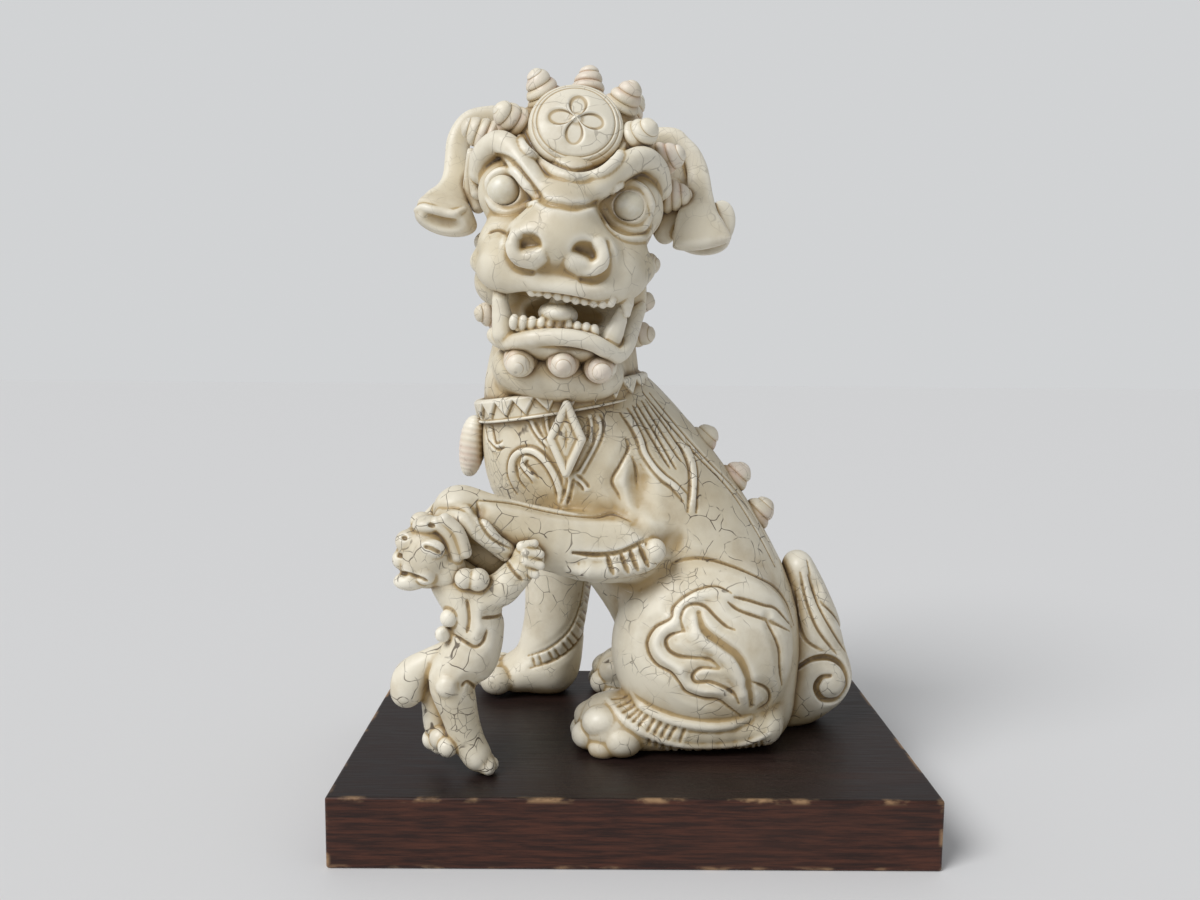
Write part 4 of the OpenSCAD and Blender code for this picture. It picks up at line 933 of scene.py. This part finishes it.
TOOTH_Y, TOOTH_R = -39.5, (1.9, 1.8, 2.5)
FANG_PX, FANG_Y, FANG_R = [(626, 294), (627, 304), (627, 314)], -34, (3.2, 2.5, 1.4)
MOUTH = ((560, 314), -30, (24, 24, 8.2))

head_from_figure = HEAD.inverted() @ FIGURE
head = Clay(HEAD, low=(-43, -58, -86), high=(43, 44, 50), cell=0.55)
head.egg(SKULL_AT, SKULL_R)
head.loft([[*(head_from_figure @ Vector(s[:3])), *s[3:]] for s in NECK], k=6)
head.egg(*THROAT, k=5)
for side in (-1, 1):
    head.rod([(side * x, y, z) for x, y, z in JOWL], JOWL_R, k=6)
    head.egg((side * CHEEK_AT[0], *CHEEK_AT[1:]), CHEEK_R, k=5)
head.egg(*MUZZLE, k=5)
head.rod(BRIDGE, BRIDGE_R, k=6)
for form in NOSE_FORMS:
    head.dab(*form)
head.rod(curve(spots(HEAD, LIP_PX, LIP_Y)), LIP_R, k=5)
for eye in EYES_PX:
    head.dab(eye, SOCKET_Y, SOCKET_R, k=1.0, carve=True)
head.rod(curve(spots(HEAD, BROW_PX, BROW_Y)), BROW_R, k=2.5)
head.groove(BROW_UNDER_PX, r=1.6, depth=1.5, k=1.2)
for lid in UPPER_LIDS_PX:
    head.ridge(lid, r=1.8, rise=1.2, k=0.7, ends=0.2)
for lid in LOWER_LIDS_PX:
    head.ridge(lid, r=1.6, rise=1.0, k=0.7)
for fold, y in zip(TEMPLE_PX, TEMPLE_Y):
    head.rod(curve(spots(HEAD, fold, y)), TEMPLE_R, k=0.8)
head.ridge(DISC_BAND_PX, r=2.2, rise=2.0)
head.groove(DISC_EDGE_PX, r=1.1, depth=1.2, k=0.6)
for hole in NOSTRILS_PX:
    head.dab(hole, NOSTRIL_Y, NOSTRIL_R, k=1.2, carve=True)
for wing in WINGS_PX:
    head.ridge(wing, r=2.8, rise=1.2, k=1.4, ends=0.75)
for end in SCROLL_ENDS_PX:
    head.dab(end, SCROLL_END_Y, SCROLL_END_R, k=2.5)
head.seam(CHEEK_FOLD_PX)
for fold in WING_SIDES_PX:
    head.groove(fold, r=1.4, depth=1.2, k=1.8)
head.dab(*MOUTH, k=1.0, carve=True)
for tooth in TEETH_PX:
    head.dab(tooth, TOOTH_Y, TOOTH_R, k=0.8)
head.rod(spots(HEAD, FANG_PX, FANG_Y), FANG_R, k=0.8)
cast("head_casting", head, crazed=0.45)

# Lower jaw, with its teeth and tongue
JAW = ((1, -22, -57), (24, 17, 6))
JAW_LIP_PX = [(495, 335), (509, 342), (528, 339), (549, 337), (572, 338), (593, 343), (606, 350), (617, 355),
              (626, 346), (632, 328), (638, 308)]
JAW_LIP_Y = [-22, -32, -37, -39.5, -40, -39, -36.5, -33, -28, -22, -14]
JAW_TEETH_PX = [(514, 322), (523, 323), (532, 324), (541, 325), (550, 326), (559, 327), (568, 328),
                (577, 329), (586, 330), (594, 332)]
LOW_FANGS_PX = [[(504, 333), (502, 316), (500, 301), (499, 290)],
                [(607, 346), (614, 332), (619, 321), (622, 312)]]
JAW_TOOTH_Y, JAW_TOOTH_R = -36.5, (1.9, 2.0, 3.0)
LOW_FANG_Y, LOW_FANG_R = (-31, -32), (4.4, 3.8, 3.0, 2.2)
TONGUE, TONGUE_TIP = ((558, 314), -28, (7.5, 13, 4.5)), ((557, 302), -34, (2.6, 2.8, 3.0))

jaw = Clay(HEAD, low=(-40, -52, -78), high=(40, 10, -30), cell=0.5)
jaw.egg(*JAW, k=2)
jaw.rod(curve(spots(HEAD, JAW_LIP_PX, JAW_LIP_Y)), LIP_R, k=1.5)
for tooth in JAW_TEETH_PX:
    jaw.dab(tooth, JAW_TOOTH_Y, JAW_TOOTH_R, k=0.7)
for fang, y in zip(LOW_FANGS_PX, LOW_FANG_Y):
    jaw.rod(spots(HEAD, fang, y), LOW_FANG_R, k=1.0)
jaw.dab(*TONGUE, k=1.5)
jaw.dab(*TONGUE_TIP, k=1.5)
cast("lower_jaw", jaw, crazed=0.4)


# Eyes
def ball(at, radii, rows=24, sides=36):
    v = np.linspace(0.001, math.pi - 0.001, rows)[:, None]
    points, faces = turned(np.sin(v), np.cos(v), angles(sides))
    return points * radii + at, faces


eye_balls = [ball(spot(HEAD, eye, EYE_Y), EYE_R) for eye in EYES_PX]
piece("eyes_pearly", *joined(eye_balls), HEAD, pearly, ["eyes"], "pearl_eye")

# Ears: straps that droop to a broad end, which is turned out like a scoop on the left and a bell on the right
LEFT_STRAP = [((495, 118), 10, 5.0, 3.0), ((472, 122), 8, 4.8, 2.6), ((459.5, 139), 6, 4.8, 2.4),
              ((457, 160), 4, 4.9, 2.3), ((456, 174), 2, 5.1, 2.2), ((454, 184), 0, 5.6, 2.2),
              ((451, 193), -2.5, 7.0, 2.4), ((447.5, 201), -4.5, 9.0, 3.0), ((445, 208), -6, 10.6, 4.2)]
LEFT_RIM_PX = [(414, 210), (424, 207), (437, 212), (452, 214.5), (465, 208)]
LEFT_FOOT = ((446, 220), -4.5, (12.4, 9.0, 6.2))
LEFT_BOWL = ((438, 224), -14.8, (14.0, 5.5, 5.6))
FOOT_TILT = math.radians(5)
RIGHT_STRAP = [((655, 140), 10, 5.0, 3.0), ((673, 139), 8, 4.4, 2.6), ((682, 144.5), 7, 3.6, 2.4),
               ((691, 153), 6, 3.5, 2.4), ((696.5, 166), 5, 4.0, 2.4), ((698.6, 178), 4, 4.5, 2.4),
               ((700, 197), 2, 5.4, 2.6), ((698.5, 220), -2, 9.2, 3.0), ((702, 242), -5, 11.8, 3.0)]
RIGHT_LOBE, RIGHT_BACK = ((720, 223), 3, (6.2, 2.2, 9)), ((701, 238), 2, (11.5, 4.5, 7))
RIGHT_MOUTH = ((706, 249), -0.5, (10.5, 3.0, 6))
RIGHT_WEB = [((668, 212), 6, (7, 4, 13)), ((678, 180), 9, (6, 3, 9))]


def strap(clay, stations):
    clay.loft([[*spot(HEAD, px, y), wide, thick] for px, y, wide, thick in stations],
              steps=8, k=1.5, blend=0.15)


left_ear = Clay(HEAD, low=(-70, -20, -26), high=(-18, 20, 42), cell=0.5)
strap(left_ear, LEFT_STRAP)
tilt = Matrix.Rotation(FOOT_TILT, 4, "Y")
left_ear.dab(*LEFT_FOOT, k=3.5, turn=tilt)
left_ear.dab(*LEFT_BOWL, k=1.5, carve=True, turn=tilt)
left_ear.ridge(LEFT_RIM_PX, r=1.5, rise=1.0, k=0.8)
cast("left_ear", left_ear, crazed=0.35)

right_ear = Clay(HEAD, low=(18, -20, -26), high=(76, 20, 46), cell=0.5)
strap(right_ear, RIGHT_STRAP)
right_ear.dab(*RIGHT_LOBE, k=1.0)
right_ear.dab(*RIGHT_BACK, k=2.0)
right_ear.dab(*RIGHT_MOUTH, k=1.0, carve=True)
for web in RIGHT_WEB:
    right_ear.dab(*web, k=2.0)
cast("right_ear", right_ear, crazed=0.35)

# Crown disc, with two rim grooves and a sunk four-petal flower
DISC_AT, DISC_WAY, DISC_R, DISC_RISE = (-1.3, -20.5, 24), (0, -1, 0.4), 17.4, 6.0
DISC_DOME, DISC_EDGE_DROP = 3.6, 1.4
DISC_SIDE_R, DISC_SIDE_Z = (1.02, 1.0, 0.93), (DISC_RISE - 2.4, DISC_RISE - 5, -8)
RIM_GROOVES, GROOVE_W, GROOVE_DEPTH = (0.83, 0.92), 0.022, 0.6
PETAL_REACH, PETAL_DEPTH, BOSS_RISE = 0.6, 0.9, 0.7


def disc(rows=70, sides=120):
    r = np.concatenate((np.linspace(0.001, 1, rows), DISC_SIDE_R))[:, None]
    q, share = angles(sides), np.minimum(r, 1)
    z = DISC_RISE + DISC_DOME * (1 - share ** 2) - DISC_EDGE_DROP * share ** 10
    for at in RIM_GROOVES:
        z = z - GROOVE_DEPTH * np.exp(-((share - at) / GROOVE_W) ** 2)
    petal = share - PETAL_REACH * np.abs(np.cos(2 * q)) ** 0.6
    z = z - PETAL_DEPTH / (1 + np.exp(np.clip(petal * 42, -30, 30))) + BOSS_RISE * np.exp(-(share / 0.1) ** 2)
    z[rows:] = np.array(DISC_SIDE_Z)[:, None]
    return turned(r * DISC_R, z, q)


piece("crown_medallion_cast", *disc(), HEAD @ aim(DISC_AT, DISC_WAY), cream, ["crown_medallion"],
      "crackled_cream", crazed=0.4)


# Curls: those in front are placed by the photograph, the rest in the seats that the solids have
def skull_spot(az, el):
    az, el = math.radians(az), math.radians(el)
    way = np.array((math.cos(el) * math.sin(az), -math.cos(el) * math.cos(az), math.sin(el)))
    out = unit(way / SKULL_R)
    return SKULL_AT + SKULL_R * way - out, out


CURL_D, SMALL_CURL_D, CHIN_CURL_D, SPINE_CURL_D = 14.8, 13, 13.5, 17
CURL_SPIN = 2.1
FRONT_SPOTS = [(-50, 56), (46, 56), (-52, 30), (44, 30), (-82, 22), (71, 22), (-104, 6), (88, 5)]
FRONT_LIFT = [0, 0, 0, 0, 4.0, 0.5, 0, 1.0]
BACK_SPOTS = [(170, 87), (180, -8)] + [(side * az, el) for az, el in (
    (114, 60), (152, 46), (128, 22), (160, 18), (146, -6)) for side in (-1, 1)]
CHEEK_SPOTS = [((side * out + shift, y, z), (side * 0.9, -0.44, 0)) for out, y, z, shift in (
    (27.5, 4, -19, 0.5), (26, 4, -34, 1.9), (26.8, 4, -47, 3)) for side in (-1, 1)]
CHIN_SPOTS = [((-10.6, -29, -62.5), (-0.1, -1, -0.3)), ((5.2, -31, -60.6), (0, -1, -0.3)),
              ((18.8, -29, -61), (0.1, -1, -0.3))]
SPINE_SPOTS = [((x, LION_Y, z), (0.78, 0, 0.62)) for x, z in ((24.5, 116), (38.5, 100.5), (48.8, 85.5))]


def curls(name, d, place, seats):
    points, faces = snail(d)
    parts = [(moved(aim(at, way, CURL_SPIN * i), points), faces) for i, (at, way) in enumerate(seats)]
    piece(name + "_cast", *joined(parts), place, tinted, [name], "tinted_cream", crazed=0.3)


front = [(at + out * lift, out) for (at, out), lift in zip((skull_spot(*s) for s in FRONT_SPOTS), FRONT_LIFT)]
curls("crown_curls", CURL_D, HEAD, front + [skull_spot(*s) for s in BACK_SPOTS])
curls("cheek_curls", SMALL_CURL_D, HEAD, CHEEK_SPOTS)
curls("chin_curls", CHIN_CURL_D, HEAD, CHIN_SPOTS)
curls("spine_curls", SPINE_CURL_D, FIGURE, SPINE_SPOTS)

# Collar, with a zigzag in relief
COLLAR_R, COLLAR_T, COLLAR_H, TEETH_ROUND = 32.5, 4.0, 9.5, 24
RELIEF, LINE_DEPTH = 0.7, 0.5
# Shares of half the height: the zigzag, its flank, the part inside the plain edges, and their easing
ZIGZAG, FLANK, INSIDE, EASE = 0.62, 0.12, 0.86, 0.1


def collar(rows=26, sides=528):
    q, h = angles(sides), np.linspace(-1, 1, rows)[:, None]
    zigzag = 2 * np.abs((q / (2 * math.pi) * TEETH_ROUND) % 1 * 2 - 1) - 1
    below = h - ZIGZAG * zigzag
    relief = RELIEF * np.tanh(below / FLANK) - LINE_DEPTH * np.exp(-(below / FLANK) ** 2)
    inside = np.clip((INSIDE - np.abs(h)) / EASE, 0, 1)
    edge = np.maximum(np.abs(h) - (1 - EASE), 0) / EASE
    r = COLLAR_R + COLLAR_T - RELIEF + relief * inside + RELIEF / 2 * (1 - inside) - edge
    bore, half = np.full((1, sides), COLLAR_R), COLLAR_H / 2
    return turned(np.vstack((bore, r, bore, bore)), np.vstack((-half, half * h, half, -half)), q)


piece("collar_cast", *collar(), COLLAR, cream, ["collar"], "crackled_cream")

# Bud
BUD_R, BUD_HALF = 5.7, 13
BUD_AT, BUD_LEAN = (-66.5, LION_Y, 117), math.radians(9)
BUD = FIGURE @ Matrix.Translation(BUD_AT) @ Matrix.Rotation(BUD_LEAN, 4, "Y")


def bud(rows=60, sides=40):
    v = np.linspace(-0.499, 0.499, rows)[:, None] * math.pi
    rings = 1 + 0.02 * np.sin(v * 30)
    r = BUD_R * np.cos(v) ** 0.75 * (1 + 0.14 * np.sin(v)) * rings
    return turned(r, BUD_HALF * np.sin(v), angles(sides))


piece("collar_bud_cast", *bud(), BUD, tinted, ["collar_bud"], "tinted_cream")

# Pendant: a lozenge of flat rings, with two raised ones
PENDANT_AT, PENDANT_WAY = (-26, -28.5, 124), (-0.1, -1, 0.03)
PENDANT_W, PENDANT_H, PLATE_R = 6.5, 14.5, 1.8
RAISED_RINGS = ((0.9, 1.2, 1.7), (0.36, 0.9, 1.5))
LOZENGE = np.array([(PENDANT_W, 0), (0, PENDANT_H), (-PENDANT_W, 0), (0, -PENDANT_H), (PENDANT_W, 0)])


def flat(points, z):
    return np.column_stack((points, np.full(len(points), z)))


pendant = Clay(FIGURE @ aim(PENDANT_AT, PENDANT_WAY), low=(-20, -20, -6), high=(20, 20, 9), cell=0.4)
for share in np.linspace(0.1, 0.8, 6):
    pendant.rod(flat(LOZENGE * share, 0.0), PLATE_R, k=1.0)
for share, z, r in RAISED_RINGS:
    pendant.rod(flat(LOZENGE * share, z), r, k=0.6)
cast("chest_pendant", pendant)

# Wooden base with eased, worn edges
BASE_EASE = 0.0011


def block(name, low, high, ease):
    made_mesh = bpy.data.meshes.new(name)
    bm = bmesh.new()
    bmesh.ops.create_cube(bm, size=1.0)
    size = high - low
    for v in bm.verts:
        v.co = Vector((low[i] + size[i] * (v.co[i] + 0.5) for i in range(3)))
    bmesh.ops.bevel(bm, geom=bm.edges[:], offset=ease, segments=3, affect="EDGES", profile=0.5)
    bm.to_mesh(made_mesh)
    bm.free()
    return made_mesh


base_mesh = block("wooden_base_stained", BASE_LOW, BASE_HIGH, BASE_EASE)
base_mesh.materials.append(wood)
base = bpy.data.objects.new("wooden_base_stained", base_mesh)
bpy.context.scene.collection.objects.link(base)
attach(base, "root")
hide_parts("wooden_base")

PLAIN = {"felt_sheet": felt, "base_screws": steel, "neck_dowel": steel, "limb_dowels": steel}
for name, material in PLAIN.items():
    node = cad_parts[name]
    node.data.materials.clear()
    node.data.materials.append(material)

# Painted shade and brown wash: how sheltered each point is by the pieces and the deck, close by and further
# off
SHADE_GRID_LOW, SHADE_GRID_HIGH, SHADE_GRID_BAND = np.array((-112, -72, -2.0)), np.array((112, 72, 300)), 3.0
GROOVE_REACH, HOLLOW_REACH = 2, 7


def shade_and_wash_fields(cell=0.8):
    """The grid's low corner and cell, and its two shelter fields, for painted shade and brown wash."""
    low = SHADE_GRID_LOW
    count = np.ceil((SHADE_GRID_HIGH - low) / cell).astype(int)
    solid = np.full(count, SHADE_GRID_BAND, np.float32)
    scale = openvdb.createLinearTransform(voxelSize=cell)
    for _, world, faces in made:
        grid = openvdb.FloatGrid.createLevelSetFromPolygons(
            np.float32(world - low), quads=np.uint32(faces), transform=scale, halfWidth=SHADE_GRID_BAND)
        here = np.full(count, grid.background, np.float32)
        grid.copyToArray(here, ijk=(0, 0, 0))
        np.minimum(solid, here / cell, out=solid)
    deck = np.arange(count[2]) * cell + low[2]
    # The deck shelters too: painted shade low on the figure, where it stands on the base
    np.minimum(solid, ((deck - DECK) / cell)[None, None, :], out=solid)
    full = np.clip(0.5 - solid, 0, 1)
    return low, cell, {"groove": blurred(full, GROOVE_REACH), "hollow": blurred(full, HOLLOW_REACH)}


def blurred(field, reach):
    """Mean over boxes, twice along each axis."""
    for axis in (0, 1, 2, 0, 1, 2):
        n = field.shape[axis]
        total = np.cumsum(field, axis=axis, dtype=np.float64)
        high = np.clip(np.arange(n) + reach, 0, n - 1)
        low = np.arange(n) - reach - 1
        upper = np.take(total, high, axis=axis)
        lower = np.take(total, np.maximum(low, 0), axis=axis)
        shape = [1, 1, 1]
        shape[axis] = n
        lower = lower * (low >= 0).reshape(shape)
        field = np.float32((upper - lower) / (high - np.maximum(low, -1)).reshape(shape))
    return field


low, cell, fields = shade_and_wash_fields()
for mesh, world, _ in made:
    for name, field in fields.items():
        note(mesh, name, between(field, (world - low) / cell))

# Stage and light
FLOOR_COLOUR, FLOOR_HALF = (0.72, 0.72, 0.725, 1), 4.0
SKY_COLOUR, SKY_LIGHT, SKY_SEEN = (0.97, 0.985, 1.0, 1), 0.42, 0.66
SUN_WAY, SUN_LEVEL, SUN_ANGLE = Vector((-0.64, -0.55, 0.8)).normalized(), 2.3, math.radians(28)

floor_paint = Paint("floor")
floor_paint.set(base_color=FLOOR_COLOUR, roughness=0.7)
floor_mesh = bpy.data.meshes.new("floor")
corners = [(x * FLOOR_HALF, y * FLOOR_HALF, 0) for x, y in ((-1, -1), (1, -1), (1, 1), (-1, 1))]
floor_mesh.from_pydata(corners, [], [(0, 1, 2, 3)])
floor_mesh.materials.append(floor_paint.material)
floor = bpy.data.objects.new("floor", floor_mesh)
bpy.context.scene.collection.objects.link(floor)

studio = bpy.data.worlds.new("studio")
studio.use_nodes = True
tree = studio.node_tree
sky = tree.nodes["Background"]
sky.inputs[0].default_value = SKY_COLOUR
seen = tree.nodes.new("ShaderNodeLightPath")
level = tree.nodes.new("ShaderNodeMapRange")
level.inputs["To Min"].default_value = SKY_LIGHT
level.inputs["To Max"].default_value = SKY_SEEN
tree.links.new(seen.outputs["Is Camera Ray"], level.inputs["Value"])
tree.links.new(level.outputs[0], sky.inputs[1])
bpy.context.scene.world = studio

sun = bpy.data.lights.new("key", "SUN")
sun.energy = SUN_LEVEL
sun.angle = SUN_ANGLE
sun_object = bpy.data.objects.new("key", sun)
sun_object.rotation_euler = SUN_WAY.to_track_quat("Z", "Y").to_euler()
bpy.context.scene.collection.objects.link(sun_object)

bpy.context.scene.view_settings.view_transform = "Standard"
